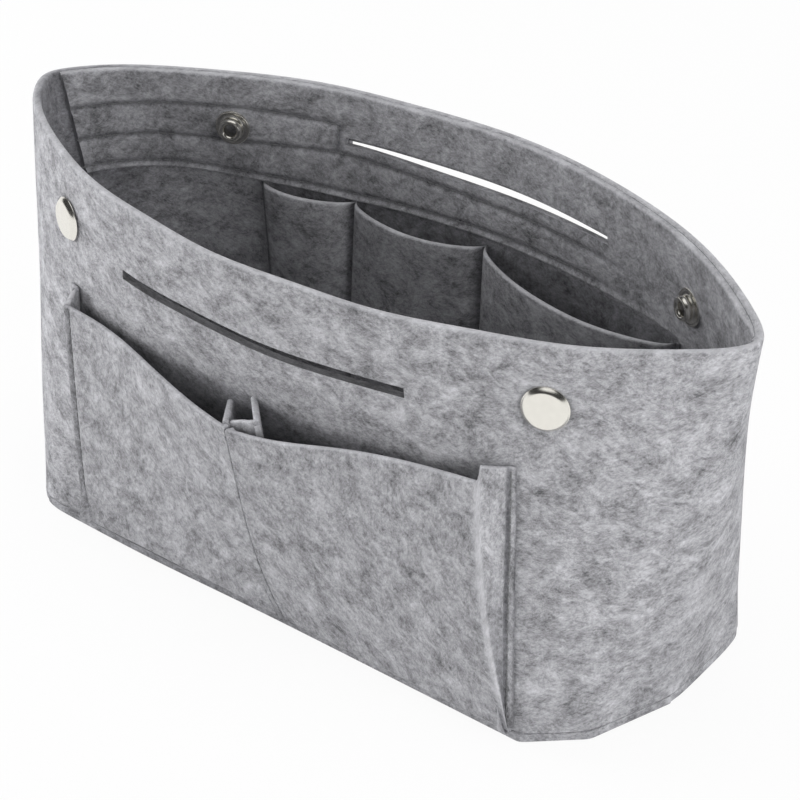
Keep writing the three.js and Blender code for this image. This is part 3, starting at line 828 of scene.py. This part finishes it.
# Flat panel under the walls: the foot's outline, a lip wider, carried up a rounded edge.
def makeBase():
    shares = np.linspace(0, 1, 140)[:-1]
    sharp, soft = base["corners"]
    quarters = (
        ("frontRight", sharp, shares, (1, -1)),
        ("backEnds", soft, 1 - shares, (1, 1)),
        ("backEnds", soft, shares, (-1, 1)),
        ("frontLeft", soft, 1 - shares, (-1, -1)),
    )
    ring = np.concatenate([alongRun(footQuarter(quarter, softness), at) * mirror
                           for quarter, softness, at, mirror in quarters])
    bow, middle, reach = base["bow"]
    ring[:, 1] -= bow * bell(ring[:, 0] - middle, reach) * (ring[:, 1] < -band["baseDepth"] / 2 + 2)
    turn = np.linspace(0, np.pi / 2, turnPoints)
    bend, thick, insets = base["rounding"], base["thick"], base["insets"]
    inset = np.concatenate([insets, bend - bend * np.sin(turn), bend - bend * np.cos(turn), insets[::-1]])
    inset = inset - base["lip"]
    rise = np.concatenate([[0, 0], bend - bend * np.cos(turn),
                           thick - bend + bend * np.sin(turn), [thick, thick]])
    size = np.array([band["baseLength"] / 2, band["baseDepth"] / 2])
    flat = ring[:, None, :] * (1 - inset[None, :, None] / size)
    x = flat[..., 0] + band["skew"] * flat[..., 1] - band["setLeft"]
    y = flat[..., 1] + band["setBack"]
    points = np.stack([x, y, np.broadcast_to(rise, x.shape)], -1)
    count, steps = x.shape
    index = np.arange(count * steps).reshape(count, steps)
    after = np.roll(index, -1, 0)
    quads = np.stack([index[:, :-1], after[:, :-1], after[:, 1:], index[:, 1:]], -1)
    flatPoints = points.reshape(-1, 3)
    caps = [index[::-1, 0], index[:, -1]]
    # the pattern lies flat on both faces and runs round along the edge
    run = flatPoints[:, :2]
    quadRun = run[quads]
    around = runLength(points)
    closing = np.linalg.norm(points[:1] - points[-1:], axis=-1)
    aroundAfter = np.concatenate([around[1:], around[-1:] + closing])
    edge = slice(2, steps - 3)
    edgeRun = np.stack([around[:, :-1], aroundAfter[:, :-1], aroundAfter[:, 1:], around[:, 1:]], -1)
    quadRun[:, edge, :, 0] = edgeRun[:, edge]
    quadRun[:, edge, :, 1] = (points[..., 2].ravel() + 1.5 * np.tile(inset, count))[quads][:, edge]
    darker, middle, reach = base["underPocket"]
    underPocket = darker * bell(x - middle, reach) * (y < -40)
    shade = np.where(rise > thick - 0.05, 1.0, 1.4 - 0.4 * rise + underPocket)
    piece = makePiece("base_felt", flatPoints, quads.reshape(-1, 4), quadRun.reshape(-1, 4, 2), caps,
                      [run[cap] for cap in caps], {"cut": 0 * shade, "inside": shade}, feltGrey)
    standFor(piece, "felt_shade", "base", "base_panel")
    cutFelt(band["baseLength"], band["baseDepth"])


makeBase()
print("base made")


# stitches

stitch = {
    "pitch": 3.2,
    "length": 2.9,
    "radius": 0.22,
    "rings": 7,
    "sides": 6,
}


# Rows of sewn stitches along paths of points with normals: each is a short tube whose ends dive into the
# felt. Point = path + normal * lift + ring, lift = radius * (0.75 - 1.3 s^2), s from -1 to 1 along the
# stitch.
def makeStitches(name, paths, body=None):
    points, quads, runs, caps, capRuns = [], [], [], [], []
    first = 0
    rings, sideCount, radius = stitch["rings"], stitch["sides"], stitch["radius"]
    s = np.linspace(-1, 1, rings)
    turn = np.arange(sideCount) / sideCount * 2 * np.pi
    lift = radius * (0.75 - 1.3 * s ** 2)
    thin = radius * (1 - 0.25 * s ** 4)
    for path, normal in paths:
        run = pathLength(path)
        count = max(1, int(run[-1] // stitch["pitch"]))
        centre = (np.arange(count) + 0.5) * run[-1] / count
        at = centre[:, None] + s[None, :] * stitch["length"] / 2
        sample = lambda values: np.stack([np.interp(at, run, values[:, k]) for k in range(3)], -1)
        spot, up, ahead = sample(path), unit(sample(normal)), unit(sample(np.gradient(path, axis=0)))
        aside = np.cross(ahead, up)
        ring = (np.cos(turn)[None, None, :, None] * up[:, :, None, :]
                + np.sin(turn)[None, None, :, None] * aside[:, :, None, :])
        tube = (spot + up * lift[None, :, None])[:, :, None, :] + ring * thin[None, :, None, None]
        index = np.arange(tube.size // 3).reshape(count, rings, sideCount)
        after = np.roll(index, -1, 2)
        faces = np.stack([index[:, :-1], index[:, 1:], after[:, 1:], after[:, :-1]], -1).reshape(-1, 4)
        flat = np.stack(np.broadcast_arrays(at[:, :, None], turn[None, None, :] * radius), -1).reshape(-1, 2)
        points.append(tube.reshape(-1, 3))
        quads.append(faces + first)
        runs.append(flat[faces])
        for ends in (index[:, 0, ::-1], index[:, -1, :]):
            caps.extend(ends + first)
            capRuns.extend(flat[ends])
        first += tube.size // 3
    points, quads, runs = (np.concatenate(parts) for parts in (points, quads, runs))
    piece = makePiece(name, points, quads, runs, caps, capRuns, {}, threadGrey)
    standFor(piece, "felt_shade", body)
    return piece


# facing inside the back wall

facing = {
    "foot": 110.0,
    "felt": 2.4,
    "depth": 3.08,  # its outer face under the outer face of the wall
    "rounding": 0.9,
    "rowStep": 0.62,
    "endShare": 0.978,
    "pressedFrom": 0.9,  # share from which its right end is pressed thin
    "groove": 0.8,
    "grooveWidth": 1.1,
    "sewnShade": 4.0,
    "sewnEnd": 50.0,  # the rows fade out to the right of this, by a share and over a length
    "sewnFade": (0.85, 20),
    "boxDeeper": 1.4,  # how much deeper the upright seam's groove is
    "hemRise": 2.6,
    # seams: the hem just above the lower edge, and the two sides of the band that the slit is in
    "hem": ((-146, 111.6), (-120, 110.6), (-100, 109.8), (-55, 109.8), (-30, 111.2), (0, 112.6),
            (146, 112.6)),
    "lower": ((-146, 122.0), (-100, 121.8), (-61, 124.0), (0, 122.5), (60, 122.0), (146, 122.0)),
    "upper": ((-146, 133.8), (-97, 135.6), (-61, 134.8)),
    "boxEnd": -61.0,  # upright seam left of the slit
    "seamLevel": 124.0,  # height at which the rows' ends are taken
    "hemBend": (124.0, 11.0),  # the hem's bend dies away up to this height, over the second
    "puff": (0.5, 1.6),  # how much thicker its lower edge is, and over what height
}


def seamHeight(line, x):
    return np.interp(x, *np.array(facing[line]).T)


# How far the sewing pulls the facing's inner face in: a bell-shaped groove along each seam.
def sewnDip(x, z):
    hem, lower, upper = (seamHeight(line, x) for line in ("hem", "lower", "upper"))
    groove = lambda gap: bell(gap, facing["grooveWidth"])
    boxed = clamped((facing["boxEnd"] + 0.5 - x) * 2)
    dip = np.maximum(np.maximum(groove(z - hem), groove(z - lower)), boxed * groove(z - upper))
    upright = facing["boxDeeper"] * ((z > lower) & (z < upper)) * groove(x - facing["boxEnd"])
    share, length = facing["sewnFade"]
    fading = 1 - share * clamped((x - facing["sewnEnd"]) / length)
    return facing["groove"] * fading * np.maximum(dip, upright)


def facingPlace(share, z, depth):
    share, z, depth = np.broadcast_arrays(share, z, depth)
    x = wallFace(back, share, z)[..., 0]
    z = slitLevel("facing", x, z)
    foot = seamHeight("hem", x) - facing["hemRise"]
    toZ, fade = facing["hemBend"]
    z = z + (foot - facing["foot"]) * clamped((toZ - z) / fade)
    inner = depth / facing["felt"]
    begin, end = facing["pressedFrom"], facing["endShare"]
    depth = depth * (1 - 0.9 * clamped((share - begin) / (end - begin)))
    thicker, high = facing["puff"]
    puff = thicker * bell(z - foot, high) * inner
    return wallAt(back, share, z, facing["depth"] + depth + puff - inner * sewnDip(x, z))


# A row of stitches at a depth in the back wall, pulled in by the dip: points and normals, which point out
# of the felt.
def sewnPath(x, z, depth, dip):
    share = shareAtX(back, x, z, depth)
    normal = wallNormal(back, share, z) * (1 if depth <= 0 else -1)
    return wallAt(back, share, z, depth) - normal * dip, normal


def seamPath(line, fromX, toX, depth, dip):
    x = np.linspace(fromX, toX, max(8, int(abs(toX - fromX))))
    return sewnPath(x, seamHeight(line, x), depth, dip)


def boxPath(depth, dip):
    z = np.linspace(*(seamHeight(line, facing["boxEnd"]) for line in ("lower", "upper")), 16)
    return sewnPath(np.full(z.shape, facing["boxEnd"]), z, depth, dip)


def makeFacing():
    top, foot, thick, rounding = band["rimHeight"], facing["foot"], facing["felt"], facing["rounding"]
    rows = levels(foot + rounding, top - rounding, facing["rowStep"])
    rows, columns, slit = slitSteps("facing", back, rows)
    section = feltSection(foot, top, thick, rows, band["hiddenRounding"])

    def sewnShade(points, inner):
        return facing["sewnShade"] * inner * sewnDip(points[..., 0], points[..., 2]) / facing["groove"]

    strip = panelStrip("facing_felt", facingPlace, columns, section, feltShade, slit, sewnShade, False)
    standFor(strip, "felt_shade", "back", "back_facing")
    cutFelt(2 * panel * rimRun, top - foot)
    innerFace = facing["depth"] + thick
    edgeX, tipX = (wallAt(back, -share, facing["seamLevel"], innerFace)[0]
                   for share in (panel, facing["endShare"]))
    # depth and dip of the rows of stitches inside, and where they come through the wall
    faces = ((innerFace, facing["groove"] * 0.9), (0, 0.1))
    ends = {"hem": facing["sewnEnd"], "lower": facing["sewnEnd"], "upper": facing["boxEnd"]}
    paths = []
    for depth, dip in faces:
        paths += [seamPath(line, edgeX, toX, depth, dip) for line, toX in ends.items()]
        paths.append(boxPath(depth, dip))
    makeStitches("facing_stitches", paths, "back")
    shares = levels(panel, facing["endShare"], 1.0 / rimRun)
    for handName, hand in hands.items():
        end = endStrip(f"facing_{handName}_felt", back, hand, facingPlace, shares, section, feltShade,
                       sewnShade)
        standFor(end, "felt_shade", None, f"back_facing_{handName}")
        run = (facing["endShare"] - panel) * rimRun
        cutFelt(run, top - foot)
        if hand == left:
            sewn = makeStitches("facing_left_stitches",
                                [seamPath(line, edgeX, tipX, *face) for line in ends for face in faces])
            foldEnd(sewn, back, hand)


makeFacing()
print("facing made")


# bays inside the back wall

bays = {
    "seams": (-90.5, -54.2, 2.4, 92.0),
    "bulges": (5.0, 9.5, 16.0),
    "top": 106.5,
    "foot": 3.9,
    "slack": 1.0,
    "felt": 2.2,
    "flatWidth": 200,  # of the strip before it is sewn
    "gap": 0.3,
    "flange": 1.0,  # flat end past the outer seams
    "rounding": 0.95,
    "rowStep": 2.2,
    "pressed": 0.45,  # the flange is pressed to this share of the felt
    "sag": 0.8,  # how much a bay's edge droops between its seams
    "pull": (1.2, 1.7),  # how far a seam pulls the felt in, and over what width
    "valley": (5.0, 1.8),  # shade in the valleys at the seams, and its width
    "uneven": 0.3,
    "unevenSize": 45,
}


# One strip sewn down at four seams: between two of them it arches off the wall by bulge * sin(pi u)^0.65,
# less at the foot, and its edge droops a little.
def bayPlace(x, z, depth):
    x, z, depth = np.broadcast_arrays(x, z, depth)
    seams = np.array(bays["seams"])
    which = np.clip(np.searchsorted(seams, x, "right") - 1, 0, 2)
    arch = np.sin(np.pi * clamped((x - seams[which]) / (seams[which + 1] - seams[which]))) ** 0.65
    rise = (z - bays["foot"]) / (bays["top"] - bays["foot"])
    bulge = between((bays["slack"], np.array(bays["bulges"])[which]), rise)
    past = np.maximum(seams[0] - x, x - seams[-1])
    pressed = 1 - (1 - bays["pressed"]) * clamped(past / 0.8)
    off = bays["gap"] + (bays["felt"] - depth) * pressed + arch * bulge
    pull, width = bays["pull"]
    near = np.min(np.abs(x[..., None] - seams), -1)
    off = off - pull * bell(near, width) * (1 - depth / bays["felt"]) * pressed
    spot = wallAtX(back, x, z - bays["sag"] * arch * rise ** 6, band["felt"])
    spot[..., 1] -= off + bays["uneven"] * waves(x, z, bays["unevenSize"], 5) * arch
    return spot


def makeBays():
    seams, foot, top = bays["seams"], bays["foot"], bays["top"]
    crowded = (0.5 - 0.5 * np.cos(np.linspace(0, np.pi, 40)))[:-1]
    columns = np.concatenate([
        np.linspace(seams[0] - bays["flange"], seams[0], 5)[:-1],
        *(between(pair, crowded) for pair in zip(seams, seams[1:])),
        np.linspace(seams[-1], seams[-1] + bays["flange"], 5),
    ])
    rows = levels(foot + bays["rounding"], top - bays["rounding"], bays["rowStep"])

    def valleys(points, inner):
        darker, width = bays["valley"]
        near = np.min(np.abs(columns[:, None, None] - np.array(seams)), -1)
        return darker * bell(near, width) * (1 - inner)

    strip = feltStrip("bay_felt", bayPlace, columns, feltSection(foot, top, bays["felt"], rows), feltShade,
                      shade=valleys)
    standFor(strip, "felt_shade", "back", "inner_bay_1", "inner_bay_2", "inner_bay_3")
    cutFelt(bays["flatWidth"], top - foot)
    z = np.linspace(foot + 3, top - 1.5, 60)
    inward = np.tile([0, -1.0, 0], (len(z), 1))
    makeStitches("bay_stitches", [(bayPlace(seam + 0 * z, z, 0 * z), inward) for seam in seams], "back")


makeBays()
print("bays made")


# pocket outside the front wall

pocket = {
    "foot": 4.0,
    "felt": 2.2,
    "gap": 0.3,
    "creaseHeight": 102.0,
    "creaseReach": 55.0,
    "creaseBend": 2.2,  # how late the crease comes in towards the foot
    "foldHeight": 95.0,
    "foldReach": 73.0,
    "footReach": 46.5,
    "flangeThin": 0.55,  # the flange's outer edge is pressed to this share of the felt
    # height and x of the line down which the two leaves meet
    "meeting": ((6, 0.0), (12, -1.8), (25, -3.4), (40, -4.0), (54, -3.5), (66, -2.2), (85, -0.3), (95, 0.6)),
    "meetingGap": 0.08,
    "leafWidth": 90,
    "pleat": 9.6,  # from that line to where the right leg stands behind its leaf
    "legFoot": 34.0,
    "webFoot": 38.0,
    "legColumns": 14,
    "webColumns": 6,
    "webBehind": 0.4,  # how far the strip between the legs stands behind the leaves' ends
    "return": 3.0,  # how far the leaf runs on past its fold
    "rootRound": 0.5,
    "creaseRound": 1.3,
    "foldRound": 0.6,
    "rounding": 0.95,
    "bow": 0.7,
    "uneven": 0.35,
    "unevenSize": 48,
    "patternStart": 400,  # where the felt's pattern is taken from, away from the walls' own
    "rootGroove": (0.8, 0.8),  # depth and width of the groove in the flange's root
    "rootShade": (5.0, 0.6),
    "lowShade": (6.5, 72.0),  # shade in the foot of the narrowing gussets, and the height at which it ends
    "ridge": 2.8,  # width of the strip between the crease and the row of stitches beside it
    "counts": (10, 14, 84, 5),  # columns on the flange, the gusset, the leaf and its return
    "crowding": (1.0, 1.0, 1.6, 1.0),  # above 1, columns crowd towards a run's start
    "turns": 9,
    "left": {
        "leg": -10.0,  # x at which the pleat's leg meets the wall
        "edge": (-98.0, -94.4),  # x of the flange's edge at the foot and at the top, and of its root
        "root": (-94.6, -91.0),
        "crease": -91.0,  # x of the crease at the top, and how much further out it stands at the foot
        "splay": -7.2,
        "gusset": (102.4, 98.5),  # heights of the gusset at its root and at the crease, and of the leaf there
        "mouth": 98.0,
        "droop": (1.8, 0.0, 26.0),  # how far the mouth droops, how far from the fold, and over what length
        "swell": 1.6,
        "groove": 0.55,  # depth of the groove beside the crease
        # how much paler, or below 0 darker, the strip beside the crease is painted, how soft it ends, and the
        # flange's edge: painted highlight above 0, painted shade below 0
        "tone": -2.2,
        "ridgeSoft": 0.8,
        "edgeTone": 0.9,
        # heights of the leg at its leaf and at the wall, and of the strip's left and right
        "legTop": (94.6, 92.6),
        "webTop": (94.2, 95.6),
        "pleatRun": 13.2,  # mean width of a leg with its half of the strip
    },
    "right": {
        "leg": -2.0,
        "edge": (97.4, 96.5),
        "root": (94.8, 94.8),
        "crease": 89.8,
        "splay": 8.0,
        "gusset": (103.8, 106.0),
        "mouth": 100.6,
        "droop": (2.6, 11.0, 26.0),
        "swell": 0.96,
        "groove": 0.22,
        "tone": 1.0,
        "ridgeSoft": 2.0,
        "edgeTone": -4.0,
        "legTop": (95.2, 97.0),
        "webTop": (95.6, 97.0),
        "pleatRun": 15.3,
    },
}
pocketOf = {left: pocket["left"], right: pocket["right"]}

# A smooth line through the points read for it.
meetingLine = np.polyfit(*np.array(pocket["meeting"], float).T, 4)


# A path through corners that are rows of points: straight runs joined by rounded corners.
def roundedPath(corners, radii):
    parts = []
    begin = corners[0]
    for i in range(1, len(corners)):
        s = (np.linspace(0, 1, pocket["counts"][i - 1]) ** pocket["crowding"][i - 1])[:, None, None]
        if i == len(corners) - 1:
            parts.append(between((begin, corners[i]), s))
            break
        turn = np.linspace(0, 1, pocket["turns"])[:-1, None, None]
        p, q, curve = cornerCurve(*corners[i - 1:i + 2], radii[i - 1], turn)
        parts += [between((begin, p), s[:-1]), curve]
        begin = q
    return np.concatenate(parts)


# Corner lines of a pocket half over its height, v from the foot to the mouth: the flange's edge, its
# root, the side crease, the middle fold, and the end of the return behind that fold.
def pocketCorners(hand, v):
    own = pocketOf[hand]
    tall, low = (between((pocket["foot"], pocket[key]), v) for key in ("creaseHeight", "foldHeight"))
    # the flange stands off the wall by a gap and its own felt, which is thin at its edge
    off = lambda share: inY(0 * v + pocket["gap"] + pocket["felt"] * share)
    edge, root = (wallAtX(front, between(own[key], v), tall, 0) - off(share)
                  for key, share in (("edge", pocket["flangeThin"]), ("root", 1.0)))
    inward = clamped(1 - v) ** pocket["creaseBend"]
    creaseY = -between((pocket["creaseReach"], pocket["footReach"]), inward)
    crease = np.stack([own["crease"] + own["splay"] * inward, creaseY, tall], -1)
    foldX = np.polyval(meetingLine, low) + hand * pocket["meetingGap"]
    fold = np.stack([foldX, -between((pocket["footReach"], pocket["foldReach"]), v), low], -1)
    behind = np.stack([hand * 0.4 + 0 * v, np.minimum(pocket["return"], 0.4 + 6 * v), 0 * v], -1)
    return edge, root, crease, fold, fold + behind


# The leg's line where it leaves the back of its leaf, and where it meets the wall.
def legEnds(hand, z):
    v = (z - pocket["foot"]) / (pocket["foldHeight"] - pocket["foot"])
    _, _, crease, fold, start = pocketCorners(hand, v)
    if hand == right:
        start = between((fold, crease), pocket["pleat"] / pocket["leafWidth"])
        start = start + np.array([0, pocket["felt"] + pocket["gap"], 0])
    seam = wallAtX(front, pocketOf[hand]["leg"] + 0 * z, z, 0)
    return start, seam - np.array([0, 2 * pocket["gap"], 0])


# Sets a path off inwards by a depth, level and at right angles to its run.
def offPath(path, hand, depth):
    normal = unit(hand * levelNormal(np.gradient(path, axis=0)))
    return path - normal * depth[..., None], normal


# Which run a column belongs to, and its share of that run: 0 flange, 1 gusset, 2 leaf, 3 return. A
# rounded corner counts as the end of the run before it.
def columnRuns():
    runs = []
    for i, (count, power) in enumerate(zip(pocket["counts"], pocket["crowding"])):
        runs.append(i + np.linspace(0, 1, count)[:-1] ** power * 0.999)
        if i < 3:
            runs.append(np.full(pocket["turns"] - 1, i + 0.999))
    return np.concatenate(runs + [[4.0]])


# A flap of the pleat between two lines of points, lines(z), with a top edge that runs between two
# heights. setOff puts a path's points at their depth.
def makeFlap(name, lines, foot, tops, count, setOff):
    top, thick, rounding = max(tops), pocket["felt"], pocket["rounding"]
    rows = levels(foot + rounding, top - rounding, rowStep)

    def place(column, z, depth):
        start, end = lines(z[0])
        path = between((start[None], end[None]), column[..., None])
        points = setOff(path, np.broadcast_to(depth, path.shape[:2]))
        points[..., 2] = foot + (points[..., 2] - foot) * (between(tops, column) - foot) / (top - foot)
        return points

    flap = feltStrip(name, place, np.linspace(0, 1, count), feltSection(foot, top, thick, rows), feltLeaf)
    standFor(flap, "felt_grey", None, "pocket_pleat")
    return flap, lines(np.array([foot, top]))


def makePleatHalf(handName, hand):
    own, leafBody = pocketOf[hand], f"leaf_{handName}"
    leg, (start, seam) = makeFlap(f"pleat_leg_{handName}", lambda z: legEnds(hand, z), pocket["legFoot"],
                                  own["legTop"], pocket["legColumns"],
                                  lambda path, depth: offPath(path, hand, depth)[0])
    foldBetween(leg, seam, start)

    # Half of the strip between the two legs, from its middle to one side.
    def webEnds(z):
        starts = {each: legEnds(each, z)[0] for each in (left, right)}
        behind = np.array([0, pocket["webBehind"], 0])
        return (starts[left] + starts[right]) / 2 + behind, starts[hand] + behind

    web, (middle, _) = makeFlap(f"pleat_web_{handName}", webEnds, pocket["webFoot"], own["webTop"][::hand],
                                pocket["webColumns"], lambda path, depth: path + inY(depth))
    foldBetween(web, middle, middle + np.array([hand * 3.0, 0, 0]))
    tall = max(own["legTop"]) - pocket["legFoot"]
    cutFelt(own["pleatRun"], tall)


def makePocketHalf(handName, hand):
    own, leafBody = pocketOf[hand], f"leaf_{handName}"
    foot, thick, rounding, turns = (pocket[key] for key in ("foot", "felt", "rounding", "turns"))
    nominal = pocket["creaseHeight"] - foot
    rows = levels(foot + rounding, pocket["creaseHeight"] - rounding, rowStep)
    section = feltSection(foot, pocket["creaseHeight"], thick, rows)
    runs = columnRuns()
    columns = np.arange(len(runs))
    firstLeaf = int(np.argmax(runs >= 2))
    leafShare = clamped(runs - 2)
    thin = between((pocket["flangeThin"], 1), clamped(runs))

    # Height of the top edge over the columns: it steps from the gusset to the leaf in the rounding of the
    # crease.
    gussetTop = between(own["gusset"], clamped(runs - 1))
    droop, middle, reach = own["droop"]
    leafTop = between((own["mouth"], pocket["foldHeight"]), leafShare)
    leafTop = leafTop + pocket["bow"] * np.sin(np.pi * leafShare)
    leafTop = leafTop - droop * bell(pocket["leafWidth"] * (1 - leafShare) - middle, reach)
    top = between((gussetTop, leafTop), smooth((columns - firstLeaf + turns - 1) / (turns - 1)))
    stretch = (top - foot) / (between((pocket["creaseHeight"], pocket["foldHeight"]), leafShare) - foot)

    def barePath(v):
        radii = [pocket[key] for key in ("rootRound", "creaseRound", "foldRound")]
        path = roundedPath(pocketCorners(hand, v), radii)
        path[..., 2] = foot + (path[..., 2] - foot) * stretch[:, None]
        return path

    along = pathLength(barePath(np.array([0.6]))[:, 0])
    fromCrease = along - along[firstLeaf - turns // 2]
    fromRoot = along - along[pocket["counts"][0] + turns // 2]
    rootDepth, rootWidth = pocket["rootGroove"]
    dip = own["groove"] * bell(fromCrease - pocket["ridge"], 0.8) + rootDepth * bell(fromRoot, rootWidth)

    # swell sin(2 pi u) v^1.5 bends a leaf like an S, to the back on its outer half and to the front on its
    # inner half; ripple is the felt's slow unevenness.
    def place(column, z, depth):
        v = (z[0] - foot) / nominal
        path = barePath(v)
        u = leafShare[:, None]
        swell = np.sin(2 * np.pi * u) * v ** 1.5 * own["swell"]
        ripple = pocket["uneven"] * waves(path[..., 0], path[..., 2], pocket["unevenSize"], 21 + hand)
        path = path + inY(swell + ripple * np.sin(np.pi * u) * clamped(4 * v))
        points, normal = offPath(path, hand, depth * thin[:, None])
        return points - normal * (dip[:, None] * (1 - depth / thick))[..., None]

    # Painted highlight on the right crease's strip and painted shade on the left one, painted shade in the
    # flange's root groove, and along the flange's edge a painted highlight on the left and a painted shadow
    # on the right.
    soft = own["ridgeSoft"]
    onRidge = smooth((pocket["ridge"] + soft / 2 - fromCrease) / soft)
    onRidge = onRidge * smooth((fromCrease + soft + 0.1) / soft)
    darker, width = pocket["rootShade"]
    ridge = own["tone"] * onRidge - darker * bell(fromRoot, width)
    ridge = ridge + own["edgeTone"] * bell(along - along[0], 0.5)
    onGusset = smooth((runs - 1) / 0.2) * smooth(-(fromCrease + 0.4) / 1.2)

    def lowShade(points, inner):
        darker, toZ = pocket["lowShade"]
        return darker * onGusset[:, None] * (1 - inner) * clamped(1 - points[..., 2] / toZ)

    leaf = feltStrip(f"pocket_{handName}_felt", place, columns, section, feltLeaf, None, ridge,
                     (firstLeaf, pocket["patternStart"] * hand), lowShade)
    _, root, crease, _, _ = pocketCorners(hand, np.array([0.0, 1.0]))
    outer = between((crease, root), 0.25)
    outer[0] = root[0] + np.array([-hand * 2.5, -2.5, 0])
    foldBetween(leaf, root, outer)
    standFor(leaf, "felt_grey", None, f"pocket_{handName}", f"pocket_gusset_{handName}")
    cutFelt(along[-1], nominal)

    # Rows of stitches beside the left crease, and in the flange's root and through the wall.
    face = place(columns, rows[None, :], np.zeros((1, len(rows))))
    if hand == left:
        beside = int(np.argmin(np.abs(fromCrease - pocket["ridge"])))
        outward = hand * levelNormal(face[beside + 1] - face[beside - 1])
        sewn = makeStitches("crease_left_stitches", [(face[beside], outward)])
        foldBetween(sewn, root, outer)
    path = face[pocket["counts"][0] - 2]
    share = shareAtX(front, path[:, 0], path[:, 2], 0)
    normal = wallNormal(front, share, path[:, 2])
    through = wallAt(front, share, path[:, 2], band["felt"])
    makeStitches(f"flange_{handName}_stitches", [(path, normal), (through, -normal)], "front")
    makePleatHalf(handName, hand)


for handName, hand in hands.items():
    makePocketHalf(handName, hand)
print("pocket made")


# snaps

snaps = {
    # x and height of the left and of the right snap on each wall
    "places": {
        front: {left: (-94.2, 126.4), right: (103.8, 126.2)},
        back: {left: (-101.2, 127.6), right: (103.2, 125.8)},
    },
    "capRadius": 7.75,
    "capRise": 2.3,
    "capFlat": 5.7,
    "discRadius": 6.5,
    "studRadius": 4.4,
    "studRise": 4.0,
    "holeRadius": 2.2,
}


# A turned piece: a closed profile of radius and height, carried round an axis that points out of the felt.
def turnedPiece(name, profile, origin, axis, segments=72):
    axis = unit(axis)
    aside = unit(np.cross(axis, [0, 0, 1.0]))
    turn = np.arange(segments) / segments * 2 * np.pi
    spoke = np.cos(turn)[:, None] * aside + np.sin(turn)[:, None] * np.cross(aside, axis)
    radius, height = profile.T
    points = origin + spoke[:, None, :] * radius[None, :, None] + axis * height[None, :, None]
    index = np.arange(points.shape[0] * points.shape[1]).reshape(points.shape[:2])
    caps = []
    if radius[0] > 0.5:  # a ring's profile closes on itself; a disc's starts and ends near the axis
        index = np.concatenate([index, index[:, :1]], 1)
    else:
        caps = [index[::-1, 0], index[:, -1]]
    after = np.roll(index, -1, 0)
    quads = np.stack([index[:, :-1], after[:, :-1], after[:, 1:], index[:, 1:]], -1).reshape(-1, 4)
    run = np.stack(np.broadcast_arrays(turn[:, None] * 5, (height + radius)[None, :]), -1).reshape(-1, 2)
    return makePiece(name, points.reshape(-1, 3), quads, run[quads], caps, [run[cap] for cap in caps], {},
                     nickelPlate, 35)


# Rounds the corners of a profile: each corner gives way to six points on its curve.
def rounded(profile, radius, closed):
    points = np.array(profile, float)
    before, corner, after = np.roll(points, 1, 0), points, np.roll(points, -1, 0)
    if not closed:
        before, corner, after = before[1:-1], corner[1:-1], after[1:-1]
    arcs = cornerCurve(before, corner, after, radius, np.linspace(0, 1, 6)[:, None, None])[2]
    arcs = np.swapaxes(arcs, 0, 1).reshape(-1, 2)
    return arcs if closed else np.concatenate([points[:1], arcs, points[-1:]])


def snapPlace(side, hand, depth):
    x, height = snaps["places"][side][hand]
    share = shareAtX(side, x, height, 0)
    return wallAt(side, share, height, depth), wallNormal(side, share, height)


# A cap's profile: a nearly flat face, and a bevel that bends down to the rolled lip.
def capProfile():
    r, rise, flat = snaps["capRadius"], snaps["capRise"], snaps["capFlat"]
    bend = np.linspace(0, 1, 12)[::-1, None]
    bevel = np.concatenate([flat + (r - 0.25 - flat) * bend, rise - (rise - 0.9) * bend ** 1.9], 1)
    face = np.linspace(0.96, 0.05, 10)[:, None]
    top = np.concatenate([flat * face, rise + 0.12 * (1 - face ** 2)], 1)
    lip = rounded([(0.3, 0.1), (r - 0.6, 0.1), (r, 0.45), (r - 0.08, 0.75), (r - 0.25, 0.9)], 0.3, False)
    return np.concatenate([lip[:-1], bevel, top])


def makeSnaps():
    disc, stud, hole, rise = (snaps[key] for key in ("discRadius", "studRadius", "holeRadius", "studRise"))
    studRing = rounded([
        (hole, 0.1), (disc, 0.1), (disc, 0.6), (disc - 0.5, 0.85), (stud + 0.9, 0.7), (stud * 0.94, 0.95),
        (stud, rise * 0.7), (stud * 0.86, rise), (hole + 0.7, rise), (hole, rise - 0.8),
    ], 0.45, True)
    socketRing = rounded([
        (1.75, 0.1), (disc, 0.1), (disc, 0.9), (disc - 0.6, 2.9), (disc - 1.2, 3.4), (4.5, 3.3), (4.3, 2.6),
        (4.5, 1.1), (1.75, 1.0),
    ], 0.35, True)
    postHead = rounded([(0.1, 0.2), (2.3, 0.2), (2.3, 0.5), (1.2, 0.6), (0.1, 0.6)], 0.15, False)
    halves = {
        front: ("socket", socketRing, band["felt"]),
        back: ("stud", studRing, facing["depth"] + facing["felt"]),
    }
    for handName, hand in hands.items():
        for sideName, side in sides.items():
            cap = turnedPiece(f"{sideName}_cap_{handName}_metal", capProfile(), *snapPlace(side, hand, 0))
            standFor(cap, "nickel", sideName, f"{sideName}_cap_{handName}")
            kind, ring, depth = halves[side]
            origin, normal = snapPlace(side, hand, depth)
            half = turnedPiece(f"{kind}_{handName}_metal", ring, origin, -normal)
            standFor(half, "nickel", sideName, f"{kind}_{handName}")
            if side == front:  # the stud's hole is open
                post = turnedPiece(f"{kind}_{handName}_post", postHead, origin, -normal, 32)
                standFor(post, "nickel", sideName)


makeSnaps()
print("snaps made")
